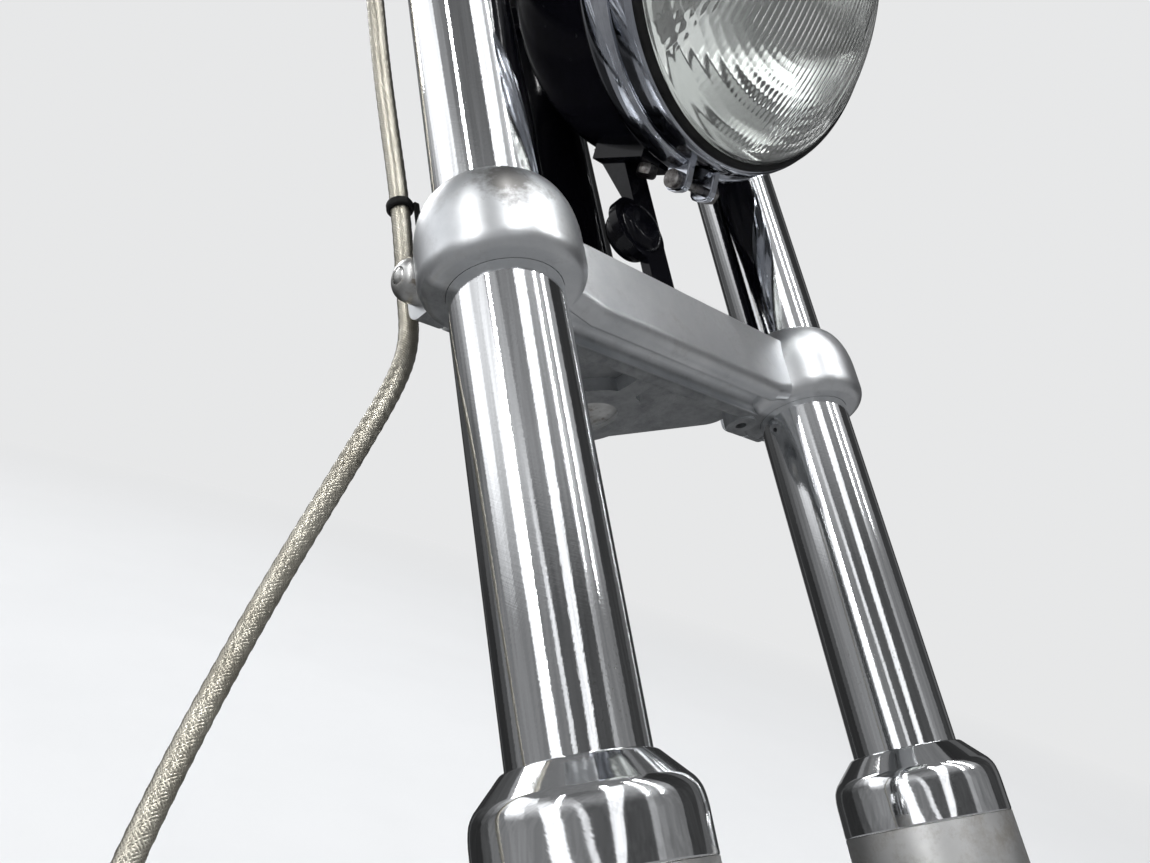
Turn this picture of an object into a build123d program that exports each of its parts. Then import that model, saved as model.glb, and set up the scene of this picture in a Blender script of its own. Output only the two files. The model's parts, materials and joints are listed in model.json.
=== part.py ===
from build123d import *
import os
from math import cos, pi, radians, sin, sqrt, tan

# Telescopic front fork of a chopper motorcycle, with its steering neck,
# headlamp and right-hand brake caliper.
#
# Everything is drawn upright in the fork's own frame, in millimetres:
# X to the rider's left, -Y forward, Z up along the legs, with the lower
# mouth of the lower yoke's tube bores at Z = 0 and the legs at Y = 0.
# The last lines lean it back by the rake, about the middle of the neck.

# Driving dimensions
RAKE = 36.0                 # steering axis from the vertical, degrees
LEG_SPACING = 180.0         # between the two tube axes
STEM_OFFSET = 50.0          # the steering axis is this far behind the tubes
TUBE_R = 19.5               # 39 mm fork tube
TUBE_WALL = 4.0
TUBE_TOP = 255.0
TUBE_BOTTOM = -370.0
SEAT_GAP = 0.1              # clearance of a fixed piece in its seat, on the radius
SLIDE_GAP = 0.2             # clearance of the tube in its slider, on the radius

# Lower yoke
LOWER_EYE_R = 28.2
LOWER_EYE_TOP = 34.0
LOWER_EYE_UNDER = -1.5
LOWER_LIP_R = 24.0          # flat ring round the bore's lower mouth
LOWER_LIP_H = 6.0           # height of the rounding from that ring up to the wall
LOWER_DOME_Z = 14.0         # the eye's dome starts here
WEB_TOP = 25.0
WEB_UNDER = 6.0             # underside of the arms to the stem
CHANNEL_ROOF = 4.0          # underside between the two front ribs
RIB_FRONT = -12.0           # front face of the yoke between the legs
RIB_T = 8.0
RIB_UNDER = -5.0
RIB_RUN = 12.0              # length of the rib's slope up to each eye
RIB_EDGE_R = 5.5            # rounding of the front face's lower edge
BACK_RIB_Y = 9.0            # front of the second rib
BACK_RIB_T = 6.0
BACK_RIB_UNDER = -3.0
BACK_RIB_EDGE_R = 2.4
CHANNEL_R = 4.5             # hollow where the channel's roof turns down into that rib
MIDDLE_RIB_W = 10.0
ARM_AT = (59.0, 29.0)       # where the arms end beside the eyes
ARM_R = 12.0
ARM_EDGE_R = 3.0
BOSS_UNDER = 0.0            # lower end of the stem's boss and of the rib up to it
STEM_BOSS_R = 35.0
STEM_COLLAR_R = 23.0
LUG_AT = (64.0, 17.0)       # drilled lugs under the web
LUG_R = 7.0
LUG_UNDER = -4.0
LUG_HOLE_R = 2.5
LUG_HOLE_DEPTH = 14.0

# Upper yoke
UPPER_YOKE_Z = 225.0
UPPER_YOKE_H = 26.0
UPPER_EYE_R = 30.0
UPPER_BOSS_R = 27.0
UPPER_FRONT = -14.0
UPPER_STEP = 4.0            # the web starts this far above the eyes' undersides
UPPER_EDGE_R = 3.0
TAB_R = 10.0                # hose tab on the right-hand eye
TAB_T = 8.0
RISER_X = 44.5              # handlebar risers' bolts
RISER_Y = 20.0
RISER_BOSS_R = 17.0
RISER_BOSS_H = 3.0
RISER_HOLE_R = 6.5

# Pinch clamp behind each eye
SLOT_W = 2.5
EAR_W = 24.0
EAR_BACK = 35.0
EAR_EDGE_R = 5.0
PINCH_Y = 27.0
PINCH_R = 4.0
PINCH_HEAD_R = 7.8
PINCH_HEAD_H = 9.5
PINCH_DOME = 5.5
PINCH_SPOT = 0.8            # the spot face is this much wider than the head
PINCH_LENGTH = 34.0
PINCH_TIP = 1.0             # clearance ahead of the bolt's tip
KEY_DEPTH = 4.0
KEY_SHARE = 0.8             # hexagon key's width against the shank's

# Steering neck and stem
NECK_R = 25.0
NECK_BORE_R = 21.0
CUP_R = 29.0
CUP_H = 14.0
CUP_SPIGOT = 10.0
CUP_BORE_R = 16.0
CUP_EDGE_R = 1.5
STEM_R = 12.7
STEM_FIT = 0.05             # clearance round the stem, on the radius
NECK_BOTTOM = 48.0
NECK_TOP = 203.0
BEARING_GAP = 0.3
SHIELD_R = 26.0
SHIELD_T = 2.7
ADJUSTER_R = 20.0
COLLAR_RISE = 1.5           # the stem collar stands this far above the web
NUT_AF = 36.0
NUT_H = 12.0
NUT_DOME_R = 15.0
NUT_DOME_H = 8.0
STEM_ABOVE = 10.0           # stem's length above the upper yoke
STEM_RECESS = 2.0           # its lower end is this far inside the boss

# Caps on the tubes
CAP_R = 20.5
CAP_FLANGE = 3.0
CAP_PLUG = 20.0
CAP_AF = 32.0
CAP_HEX_H = 9.0

# Dust covers and sliders
COVER_TOP = -149.4
COVER_TOP_R = 22.0
COVER_R = 30.0
COVER_CONE = 11.5
COVER_EDGE = (0.6, 2.0)     # turned-down edge between cone and skirt
COVER_H = 26.0
COVER_WALL = 2.8
SPIGOT_TOP = -156.0
COLLAR_R = 30.5
COLLAR_H = 28.0
SLIDER_R = 27.5
COLLAR_SLOPE = 8.0
SLIDER_FOOT_R = 24.0
AXLE_Z = -560.0
AXLE_R = 9.55
AXLE_LUG_R = 21.0
AXLE_LUG_W = 44.0
AXLE_LUG_EDGE = 1.5
SLIDER_TAPER = (80.0, 35.0)     # the foot's taper starts and ends this far above the axle
SLIDER_FLOOR = 55.0             # the bore ends this far above the axle
DRAIN_RISE = 32.0
DRAIN_OUT = 2.0
FENDER_BOSS_Z = (-265.0, -315.0)
FENDER_BOSS_R = 8.5
FENDER_BOSS_H = 6.0
FENDER_HOLE_R = 4.0
FENDER_HOLE_DEPTH = 8.0
DRAIN_R = 5.0

# Brake caliper on the right slider, round the axle's axis
DISC_X = -58.0
DISC_R = 146.0
DISC_SLOT = 11.0
DISC_CLEAR = 4.0            # between the disc's edge and the bridge
BRIDGE_T = 14.0
PAD_DEPTH = 39.0            # from the disc's edge in to the pads' inner edge
PAD_T = 4.0
PAD_PROUD = 1.5
PAD_ANGLE = 6.0             # the pads end this many degrees inside the body
CALIPER_OUT = -84.0         # outboard face of the body
CALIPER_IN = -36.0
CALIPER_WALL = 8.0
CALIPER_A0 = 27.0           # degrees up from straight behind the axle
CALIPER_A1 = 64.0
CALIPER_CORNER = 14.0
CALIPER_EDGES = (4.0, 6.0)  # rounding of the outboard and inboard faces
PISTON_ANGLES = (36.5, 54.5)
PISTON_BOSS_R = 21.0
PISTON_BOSS_H = 9.0
PISTON_EDGE_R = 3.0
SINK = 6.0                  # how far a boss runs into the body that carries it
EAR_T = 12.0
EAR_BOLTS = ((47.0, 132.0), (47.0, 52.0))   # behind and above the axle
EAR_BOLT_R = 5.0
EAR_R = 12.0
EAR_ROOT = 6.0              # how much wider the slider's ears are at their root
PLATE_R = 24.0              # the mounting plate's lobe between the pistons
BOLT_HEAD_SHARE = 1.7       # head's radius against the shank's
BOLT_HEAD_H = 8.0

# Brake hose
HOSE_R = 3.5
FERRULE_R = 5.0
FERRULE_L = 20.0
FERRULE_HEX = (12.0, 6.0)   # across flats and height
PORT_ANGLE = 52.253
PORT_INSET = 7.18           # the hose port lies this far inside the body's rim
PORT_BOSS_R = 9.5
PORT_BOSS_H = 8.0
BANJO_R = 8.5
BANJO_T = 11.0
BANJO_RISE = 30.0
BANJO_HEAD = (14.0, 6.0)
UNION_AT = (-106.0, 31.0)   # X and Y of the hose's upper end
UNION_H = 22.0
UNION_SIZE = (9.0, 8.0)     # half widths across and along
UNION_PORT_R = 4.5
UNION_PORT_DEPTH = 8.0
UNION_PORT_RISE = 12.0
CLIP_Z = 54.0
CLIP_H = 6.0
CLIP_AT = (-101.5, 34.5)    # X and Y of the hose in its clip
CLIP_GAP = 0.4
CLIP_WALL = 2.1
CLIP_ARM = (-98.5, -92.5)   # the clip's arm from X to X
CLIP_ARM_Y = 28.8
CLIP_ARM_T = 2.4
CLIP_FOOT = 5.4             # length of the arm's foot on the pinch ear

# Headlamp, in its own frame: origin at the centre of the ring's front edge,
# +Z backwards along the beam's axis and +Y down
LAMP_CENTRE = (0.0, -84.0, 138.0)
LENS_R = 73.5
LENS_PROUD = 4.0
LENS_T = 4.0
LENS_BACK = 2.4             # depth of the lens's flat rim
DOME_R = 105.0
GLASS_RIM = 3.0
RING_LIP = 1.0              # the ring's front lip clears the lens by this much
RING_R = 3.5                # width of the ring's front face beyond the lens
RING_DEPTH = 27.5
SPLIT_W = 9.0               # gap in the ring at its clamp
LUG_GAP = 12.0
RING_LUG_T = 4.0
RING_LUG_OUT = 10.0
RING_LUG_S = (10.0, 22.0)
CLAMP_TURN = -6.5           # the clamp is this far round from straight below, degrees
CLAMP_SCREW_R = 2.0
CLAMP_HEAD = (4.0, 3.0)
CLAMP_NUT = (8.0, 3.5)
GASKET_W = 5.0              # the gasket reaches this far in behind the lens
GASKET_OUT = 2.7
GASKET_S = 9.0
BOWL_INSET = 5.5            # the reflector's lip is this far inside the lens's edge
BOWL_DEPTH = 60.0
BOWL_WALL = 1.6
BOWL_HOLE_R = 12.0
BOWL_ROWS = 6
BULB_R = 8.0
BULB_TIP = 32.0
BULB_FOOT = 58.0
HOLDER_R = 24.5
HOLDER_SEAT = 64.2
HOLDER_BACK = 72.0
BUCKET_PROUD = 1.0          # the bucket's radius beyond the lens's
BUCKET_FRONT = 24.5
BUCKET_DEEP = 102.0
BUCKET_WALL = 2.0
STRAP_W = 14.0
STRAP_Y = (-2.5, 1.5)
STRAP_TOP = 112.0
WEDGE_FOOT = 72.0
WEDGE_DEPTH = 10.0
FOOT_Y = 16.0
FOOT_T = 4.0
SADDLE_W = 20.0
SADDLE_S = (29.5, 60.0)     # the saddle's two ends along the lamp's axis
SADDLE_WALL = 5.0
LAMP_BOLT_R = 3.0
LAMP_BOLT_S = 34.5
LAMP_BOLT_IN = 10.0         # how far the bolt reaches into the bucket
LAMP_BOLT_HEAD = (8.0, 4.5)     # across flats and height
BOSS_AT = (-7.0, 62.0)      # X and Z of the strap's rubber boss
BOSS_R = 11.6
BOSS_WALL = 3.1
BOSS_Y = (-6.0, 9.0)
BOSS_DOME = 4.5

HALF = LEG_SPACING / 2
SIDES = {"left": 1, "right": -1}
UPPER_YOKE_TOP = UPPER_YOKE_Z + UPPER_YOKE_H
LOWER_EAR = (3.0, 27.0)     # the pinch ears' lower and upper ends
UPPER_EAR = (UPPER_YOKE_Z + 5, UPPER_YOKE_TOP - 3)
NECK_MIDDLE = (NECK_BOTTOM + NECK_TOP) / 2
CALIPER_R0 = DISC_R - PAD_DEPTH - CALIPER_WALL
CALIPER_R1 = DISC_R + DISC_CLEAR + BRIDGE_T
PISTON_RADIUS = (CALIPER_R0 + DISC_R) / 2 + 2.5
RING_OUT = LENS_R + RING_R
BUCKET_R = LENS_R + BUCKET_PROUD
EYE_BORE_R = TUBE_R + SEAT_GAP
CENTRE_MIN = (Align.CENTER, Align.CENTER, Align.MIN)

parts = {}


def rod(radius, low, high, x=0.0, y=0.0):
    """An upright cylinder from low to high."""
    return Pos(x, y, low) * Cylinder(radius, high - low, align=CENTRE_MIN)


def ring(outer, inner, low, high, x=0.0, y=0.0):
    """An upright tube from low to high."""
    return rod(outer, low, high, x, y) - rod(inner, low, high, x, y)


def cross_rod(radius, x0, x1, y, z):
    """A cylinder along X from x0 to x1."""
    return Pos(x0, y, z) * Rot(0, 90, 0) * Cylinder(radius, x1 - x0, align=CENTRE_MIN)


def spread_rod(radius, a, b, y, z):
    """A cylinder along X between two places in either order."""
    return cross_rod(radius, min(a, b), max(a, b), y, z)


def slab(x0, x1, y0, y1, z0, z1):
    """A box between two corners."""
    middle = Pos((x0 + x1) / 2, (y0 + y1) / 2, (z0 + z1) / 2)
    return middle * Box(x1 - x0, y1 - y0, z1 - z0)


def turned(*outline):
    """A solid of revolution about Z from (radius, height) points."""
    edges = Polyline(*[(r, 0, z) for r, z in outline], close=True)
    return revolve(make_face(edges), Axis.Z)


def hull_plate(circles, low, high):
    """A plate whose outline wraps circles given as (x, y, radius)."""
    edges = []
    for x, y, radius in circles:
        edges += (Pos(x, y) * Circle(radius)).edges()
    return extrude(Pos(0, 0, low) * make_hull(edges), high - low)


def side_plate(circles, x0, x1):
    """A plate along X whose outline wraps circles given as (y, z, radius)."""
    edges = []
    for y, z, radius in circles:
        edges += (Pos(y, z) * Circle(radius)).edges()
    flat = Plane((x0, 0, 0), x_dir=(0, 1, 0), z_dir=(1, 0, 0)) * make_hull(edges)
    return extrude(flat, x1 - x0)


def hexagon(across_flats, low, high, x=0.0, y=0.0):
    """A hexagonal prism with its corners turned down, as on a nut."""
    corner = across_flats / sqrt(3)
    prism = Pos(x, y, low) * extrude(RegularPolygon(corner, 6), high - low)
    turn = (corner - across_flats / 2) * 0.6
    blank = turned((0, low), (corner - turn, low), (corner, low + turn),
                   (corner, high - turn), (corner - turn, high), (0, high))
    return prism & (Pos(x, y) * blank)


def pinch_clamp(side, low, high):
    """The ear behind one eye, without its slot and hole."""
    outer = side * (HALF + EAR_W / 2)
    inner = side * (HALF - EAR_W / 2)
    ear = slab(min(outer, inner), max(outer, inner), 0, EAR_BACK, low, high)
    back = ear.edges().filter_by(Axis.X).sort_by(Axis.Y)[-2:]
    return fillet(back, EAR_EDGE_R)


def cut_pinch(body, side, ear, low, high):
    """Cuts one clamp's slot, its bolt hole and the spot face under the bolt's head."""
    centre = side * HALF
    past = HALF + EAR_BACK
    body -= slab(centre - SLOT_W / 2, centre + SLOT_W / 2, 0, past, low, high)
    seat = side * (HALF + EAR_W / 2)
    z = sum(ear) / 2
    body -= spread_rod(PINCH_R + SEAT_GAP, seat, seat - side * PINCH_LENGTH, PINCH_Y, z)
    spot = PINCH_HEAD_R + PINCH_SPOT
    body -= spread_rod(spot, seat, seat + side * EAR_W, PINCH_Y, z)
    return body


def pinch_bolt(side, ear):
    """A dome-headed bolt that goes in from the outboard side."""
    z = sum(ear) / 2
    seat = side * (HALF + EAR_W / 2)
    crown = seat + side * PINCH_HEAD_H
    tip = seat - side * (PINCH_LENGTH - PINCH_TIP)
    shank = spread_rod(PINCH_R, seat, tip, PINCH_Y, z)
    head = spread_rod(PINCH_HEAD_R, seat, crown, PINCH_Y, z)
    rim = head.edges().filter_by(GeomType.CIRCLE).sort_by(Axis.X)[-1 if side > 0 else 0]
    socket = spread_rod(PINCH_R * KEY_SHARE, crown, crown - side * KEY_DEPTH, PINCH_Y, z)
    return shank + fillet(rim, PINCH_DOME) - socket


def lower_eye():
    """One eye of the lower yoke: a rounded lip below, an upright wall and a domed top."""
    bore = EYE_BORE_R + SEAT_GAP
    under = LOWER_EYE_UNDER
    wall = under + LOWER_LIP_H
    lip = EllipticalCenterArc((LOWER_LIP_R, wall), LOWER_EYE_R - LOWER_LIP_R, LOWER_LIP_H, -90,
                              arc_size=90)
    dome = EllipticalCenterArc((bore, LOWER_DOME_Z), LOWER_EYE_R - bore,
                               LOWER_EYE_TOP - LOWER_DOME_Z, arc_size=90)
    outline = Curve() + [
        Line((0, under), (LOWER_LIP_R, under)),
        lip,
        Line((LOWER_EYE_R, wall), (LOWER_EYE_R, LOWER_DOME_Z)),
        dome,
        Line((bore, LOWER_EYE_TOP), (0, LOWER_EYE_TOP)),
        Line((0, LOWER_EYE_TOP), (0, under))]
    return revolve(Plane.XZ * make_face(outline), Axis.Z)


def front_rib():
    """The yoke's flat front face, its lower edge rounded into a bead."""
    wide = HALF - LOWER_LIP_R + 1
    outline = Polyline((-wide, WEB_TOP), (-wide, LOWER_EYE_UNDER), (-wide + RIB_RUN, RIB_UNDER),
                       (wide - RIB_RUN, RIB_UNDER), (wide, LOWER_EYE_UNDER), (wide, WEB_TOP),
                       close=True)
    rib = extrude(Plane.XZ.offset(-RIB_FRONT - RIB_T) * make_face(outline), RIB_T)
    for end, radius in ((0, RIB_EDGE_R), (-1, (RIB_T - RIB_EDGE_R) * 0.8)):
        face = rib.faces().sort_by(Axis.Y)[end]
        rib = fillet(face.edges().sort_by(Axis.Z)[:3], radius)
    return rib


def web():
    """The plate from eye to eye and the second rib, one section drawn out along X."""
    y0, y1 = BACK_RIB_Y, BACK_RIB_Y + BACK_RIB_T
    wide = HALF - LOWER_LIP_R + 1
    section = make_face(Polyline(
        (RIB_FRONT + 1, WEB_TOP), (RIB_FRONT + 1, CHANNEL_ROOF), (y0, CHANNEL_ROOF),
        (y0, BACK_RIB_UNDER), (y1, BACK_RIB_UNDER), (y1, WEB_TOP), close=True))
    section = fillet(section.vertices().sort_by(Axis.Y)[:2], BACK_RIB_EDGE_R)
    hollow = section.vertices().sort_by_distance((y0, CHANNEL_ROOF))[0]
    section = fillet(hollow, CHANNEL_R)
    return extrude(Plane.YZ.offset(-wide) * section, 2 * wide)


def lower_yoke():
    """The cast yoke: two domed eyes, two front ribs, the arms and the stem boss."""
    x, y = ARM_AT
    body = hull_plate([(-x, y, ARM_R), (x, y, ARM_R), (0, STEM_OFFSET, STEM_BOSS_R)],
                      WEB_UNDER, WEB_TOP)
    body = fillet(body.faces().sort_by(Axis.Z)[0].outer_wire().edges(), ARM_EDGE_R)
    body += slab(-x, x, BACK_RIB_Y, y, WEB_UNDER, WEB_TOP)
    body += web()
    body += front_rib()
    half = MIDDLE_RIB_W / 2
    body += slab(-half, half, BACK_RIB_Y + 1, STEM_OFFSET, BOSS_UNDER, WEB_TOP)
    body += rod(STEM_COLLAR_R, BOSS_UNDER, WEB_TOP + COLLAR_RISE, 0, STEM_OFFSET)
    eye = lower_eye()
    for side in SIDES.values():
        body += Pos(side * HALF, 0, 0) * eye
        body += pinch_clamp(side, *LOWER_EAR)
        body += rod(LUG_R, LUG_UNDER, WEB_TOP, side * LUG_AT[0], LUG_AT[1])
    body -= rod(STEM_R + STEM_FIT, BOSS_UNDER, WEB_TOP + COLLAR_RISE, 0, STEM_OFFSET)
    for side in SIDES.values():
        body -= rod(EYE_BORE_R, LOWER_EYE_UNDER - 1, LOWER_EYE_TOP + 1, side * HALF, 0)
        body -= rod(LUG_HOLE_R, LUG_UNDER, LUG_UNDER + LUG_HOLE_DEPTH, side * LUG_AT[0],
                    LUG_AT[1])
        body = cut_pinch(body, side, LOWER_EAR, LOWER_EYE_UNDER - 1, LOWER_EYE_TOP + 1)
    return body


def upper_yoke():
    """The top clamp, a flat casting with two riser bosses and a hose tab."""
    low, high = UPPER_YOKE_Z, UPPER_YOKE_TOP
    circles = [(-HALF, 0, UPPER_EYE_R), (HALF, 0, UPPER_EYE_R), (0, STEM_OFFSET, UPPER_BOSS_R)]
    body = hull_plate(circles, low + UPPER_STEP, high)
    body -= slab(-HALF, HALF, -HALF, UPPER_FRONT, low, high)
    for side in SIDES.values():
        body += rod(UPPER_EYE_R, low, high, side * HALF, 0)
    body = fillet(body.faces().sort_by(Axis.Z)[-1].outer_wire().edges(), UPPER_EDGE_R)
    body += hull_plate([(*UNION_AT, TAB_R), (-HALF, 0, TAB_R + 2)], low, low + TAB_T)
    for side in SIDES.values():
        body += pinch_clamp(side, *UPPER_EAR)
        body += rod(RISER_BOSS_R, low + UPPER_STEP, high + RISER_BOSS_H, side * RISER_X,
                    RISER_Y)
    for side in SIDES.values():
        body -= rod(EYE_BORE_R, low - 1, high + 1, side * HALF, 0)
        body -= rod(RISER_HOLE_R, low, high + RISER_BOSS_H, side * RISER_X, RISER_Y)
        body = cut_pinch(body, side, UPPER_EAR, low - 1, high + 1)
    body -= rod(STEM_R + SEAT_GAP, low, high, 0, STEM_OFFSET)
    return body


def fork_tube(side):
    return ring(TUBE_R, TUBE_R - TUBE_WALL, TUBE_BOTTOM, TUBE_TOP, side * HALF)


def fork_cap(side):
    """A screwed-in plug with a hexagon."""
    x = side * HALF
    seat = TUBE_TOP + CAP_FLANGE
    cap = rod(TUBE_R - TUBE_WALL - SEAT_GAP, TUBE_TOP - CAP_PLUG, TUBE_TOP, x)
    flange = rod(CAP_R, TUBE_TOP, seat, x)
    flange = chamfer(flange.edges().filter_by(GeomType.CIRCLE).sort_by(Axis.Z)[-1], 1)
    cap += flange + hexagon(CAP_AF, seat, seat + CAP_HEX_H, x)
    return cap


def dust_cover(side):
    """A turned cap: flat top, cone, then a straight skirt over the slider."""
    low = COVER_TOP - COVER_H
    cone = COVER_TOP - COVER_CONE
    inner = COVER_R - COVER_WALL
    bore = TUBE_R + SLIDE_GAP + SEAT_GAP
    cover = turned((bore, COVER_TOP), (COVER_TOP_R, COVER_TOP), (COVER_R - COVER_EDGE[0], cone),
                   (COVER_R, cone - COVER_EDGE[1]), (COVER_R, low), (inner, low),
                   (inner, SPIGOT_TOP), (bore, SPIGOT_TOP))
    return Pos(side * HALF, 0, 0) * cover


def slider(side):
    """A lower leg: spigot, collar, long barrel and the axle lug."""
    x = side * HALF
    collar = COVER_TOP - COVER_H
    spigot = COVER_R - COVER_WALL - SEAT_GAP
    barrel = turned((0, SPIGOT_TOP), (spigot, SPIGOT_TOP), (spigot, collar), (COLLAR_R, collar),
                    (COLLAR_R, collar - COLLAR_H),
                    (SLIDER_R, collar - COLLAR_H - COLLAR_SLOPE),
                    (SLIDER_R, AXLE_Z + SLIDER_TAPER[0]),
                    (SLIDER_FOOT_R, AXLE_Z + SLIDER_TAPER[1]),
                    (AXLE_LUG_R, AXLE_Z), (0, AXLE_Z))
    leg = Pos(x, 0, 0) * barrel
    lug = cross_rod(AXLE_LUG_R, x - AXLE_LUG_W / 2, x + AXLE_LUG_W / 2, 0, AXLE_Z)
    leg += chamfer(lug.edges().filter_by(GeomType.CIRCLE), AXLE_LUG_EDGE)
    inboard = x - side * (SLIDER_R + FENDER_BOSS_H)
    for z in FENDER_BOSS_Z:
        leg += spread_rod(FENDER_BOSS_R, inboard, x - side * (TUBE_R + 1), 0, z)
    outboard = x + side * (SLIDER_FOOT_R + DRAIN_OUT)
    leg += spread_rod(DRAIN_R, outboard, x, 0, AXLE_Z + DRAIN_RISE)
    if side == SIDES["right"]:
        seat = CALIPER_OUT + EAR_T
        for y, z in ear_bolts():
            leg += side_plate([(y, z, EAR_R), (0, z, EAR_R + EAR_ROOT)], CALIPER_OUT, seat)
            leg -= cross_rod(EAR_BOLT_R + SEAT_GAP, CALIPER_OUT, seat, y, z)
    for z in FENDER_BOSS_Z:
        leg -= spread_rod(FENDER_HOLE_R, inboard, inboard + side * FENDER_HOLE_DEPTH, 0, z)
    leg -= rod(TUBE_R + SLIDE_GAP, AXLE_Z + SLIDER_FLOOR, SPIGOT_TOP, x)
    leg -= cross_rod(AXLE_R, x - AXLE_LUG_W, x + AXLE_LUG_W, 0, AXLE_Z)
    return leg


def ear_bolts():
    """Y and Z of the caliper's two bolts."""
    return [(y, AXLE_Z + rise) for y, rise in EAR_BOLTS]


def sector(r0, r1, a0, a1, x0, x1, corner=0.0):
    """A plate along X, a part of a ring round the axle's axis."""
    def at(radius, angle):
        return (radius * cos(radians(angle)), radius * sin(radians(angle)))
    mid = (a0 + a1) / 2
    outline = make_face(Curve() + [
        ThreePointArc(at(r1, a0), at(r1, mid), at(r1, a1)),
        Line(at(r1, a1), at(r0, a1)),
        ThreePointArc(at(r0, a1), at(r0, mid), at(r0, a0)),
        Line(at(r0, a0), at(r1, a0))])
    if corner:
        outline = fillet(outline.vertices(), corner)
    flat = Plane((x0, 0, AXLE_Z), x_dir=(0, 1, 0), z_dir=(1, 0, 0)) * outline
    return extrude(flat, x1 - x0)


def at_axle(radius, angle):
    """Y and Z of a point given round the axle's axis."""
    return radius * cos(radians(angle)), AXLE_Z + radius * sin(radians(angle))


def disc_slot():
    """X of the two faces of the slot for the disc."""
    return DISC_X - DISC_SLOT / 2, DISC_X + DISC_SLOT / 2


def brake_caliper():
    """Body with a bridge over the disc, two piston bosses and a mounting plate."""
    body = sector(CALIPER_R0, CALIPER_R1, CALIPER_A0, CALIPER_A1, CALIPER_OUT, CALIPER_IN,
                  CALIPER_CORNER)
    for end, radius in zip((0, -1), CALIPER_EDGES):
        body = fillet(body.faces().sort_by(Axis.X)[end].outer_wire().edges(), radius)
    plate = [(y, z, EAR_R) for y, z in ear_bolts()]
    plate.append((*at_axle(PISTON_RADIUS, sum(PISTON_ANGLES) / 2), PLATE_R))
    outer = CALIPER_OUT - EAR_T
    body += side_plate(plate, outer, CALIPER_OUT)
    for angle in PISTON_ANGLES:
        y, z = at_axle(PISTON_RADIUS, angle)
        boss = cross_rod(PISTON_BOSS_R, outer - PISTON_BOSS_H, CALIPER_OUT + SINK, y, z)
        body += fillet(boss.edges().filter_by(GeomType.CIRCLE).sort_by(Axis.X)[0], PISTON_EDGE_R)
    body += cross_rod(PORT_BOSS_R, outer - PORT_BOSS_H, CALIPER_OUT + SINK, *PORT_AT)
    slot = disc_slot()
    beyond = CALIPER_A1 - CALIPER_A0
    body -= sector(CALIPER_R0 / 2, DISC_R + DISC_CLEAR, CALIPER_A0 - beyond, CALIPER_A1 + beyond,
                   *slot)
    body -= sector(CALIPER_R0 + CALIPER_WALL, DISC_R + 1, CALIPER_A0 + PAD_ANGLE,
                   CALIPER_A1 - PAD_ANGLE, slot[0] - PAD_T, slot[1] + PAD_T)
    for y, z in ear_bolts():
        body -= cross_rod(EAR_BOLT_R + SEAT_GAP, outer, CALIPER_OUT, y, z)
    return body


def brake_pads():
    """Two pads that bear on the disc from both sides of its slot."""
    slot = disc_slot()
    turn = PAD_ANGLE + SEAT_GAP
    pads = []
    for x0, x1 in ((slot[0] - PAD_T, slot[0] + PAD_PROUD), (slot[1] - PAD_PROUD, slot[1] + PAD_T)):
        pads.append(sector(CALIPER_R0 + CALIPER_WALL + SEAT_GAP, DISC_R + 1 - SEAT_GAP,
                           CALIPER_A0 + turn, CALIPER_A1 - turn, x0, x1))
    return Compound(children=[pad.solids()[0] for pad in pads])


def caliper_bolts():
    """Two socket-headed bolts from outboard into the slider's ears."""
    bolts = []
    seat = CALIPER_OUT - EAR_T
    crown = seat - BOLT_HEAD_H
    for y, z in ear_bolts():
        bolt = cross_rod(EAR_BOLT_R, seat, CALIPER_OUT + EAR_T - 1, y, z)
        head = cross_rod(EAR_BOLT_R * BOLT_HEAD_SHARE, crown, seat, y, z)
        head = fillet(head.edges().filter_by(GeomType.CIRCLE).sort_by(Axis.X)[0], 1.5)
        head -= cross_rod(EAR_BOLT_R * KEY_SHARE, crown, crown + KEY_DEPTH, y, z)
        bolts.append((bolt + head).solids()[0])
    return Compound(children=bolts)


# Hose route, by hand: X, Y, Z of its corners from the union to the banjo
UNION_LOW = UPPER_YOKE_Z - UNION_H
PORT_AT = at_axle(CALIPER_R1 - PORT_INSET, PORT_ANGLE)
PORT_FACE = CALIPER_OUT - EAR_T - PORT_BOSS_H
BANJO_X = PORT_FACE - BANJO_T / 2
HOSE_TOP = (UNION_AT[0], UNION_AT[1], UNION_LOW - FERRULE_L)
HOSE_END = (BANJO_X, PORT_AT[0], PORT_AT[1] + BANJO_RISE)
HOSE_ROUTE = [
    HOSE_TOP,
    (-106.0, 31.0, 157.0),
    (-105.5, 32.0, 124.0),
    (-103.5, 33.4, 92.0),
    (*CLIP_AT, CLIP_Z + 12),
    (*CLIP_AT, CLIP_Z - 12),
    (-98.5, 39.5, 20.0),
    (-99.0, 39.5, 0.0),
    (-108.0, 37.0, -20.0),
    (-124.0, 40.0, -48.0),
    (-144.5, 58.0, -90.0),
    (-170.0, 62.5, -138.0),
    (-191.0, 62.5, -184.0),
    (-198.0, 64.0, -230.0),
    (-188.0, 70.0, -276.0),
    (-166.0, 79.0, -318.0),
    (-141.0, 87.0, -344.0),
    (-120.5, 92.5, -364.0),
    (BANJO_X, PORT_AT[0], HOSE_END[2] + 20),
    HOSE_END,
]


def hose_radii(points):
    """As large a radius at each corner as its two runs allow."""
    radii = []
    for before, here, after in zip(points, points[1:], points[2:]):
        first = Vector(*here) - Vector(*before)
        second = Vector(*after) - Vector(*here)
        half_turn = radians(first.get_angle(second)) / 2
        shorter = min(first.length, second.length)
        radii.append(0.45 * shorter / tan(half_turn))
    return radii


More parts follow.
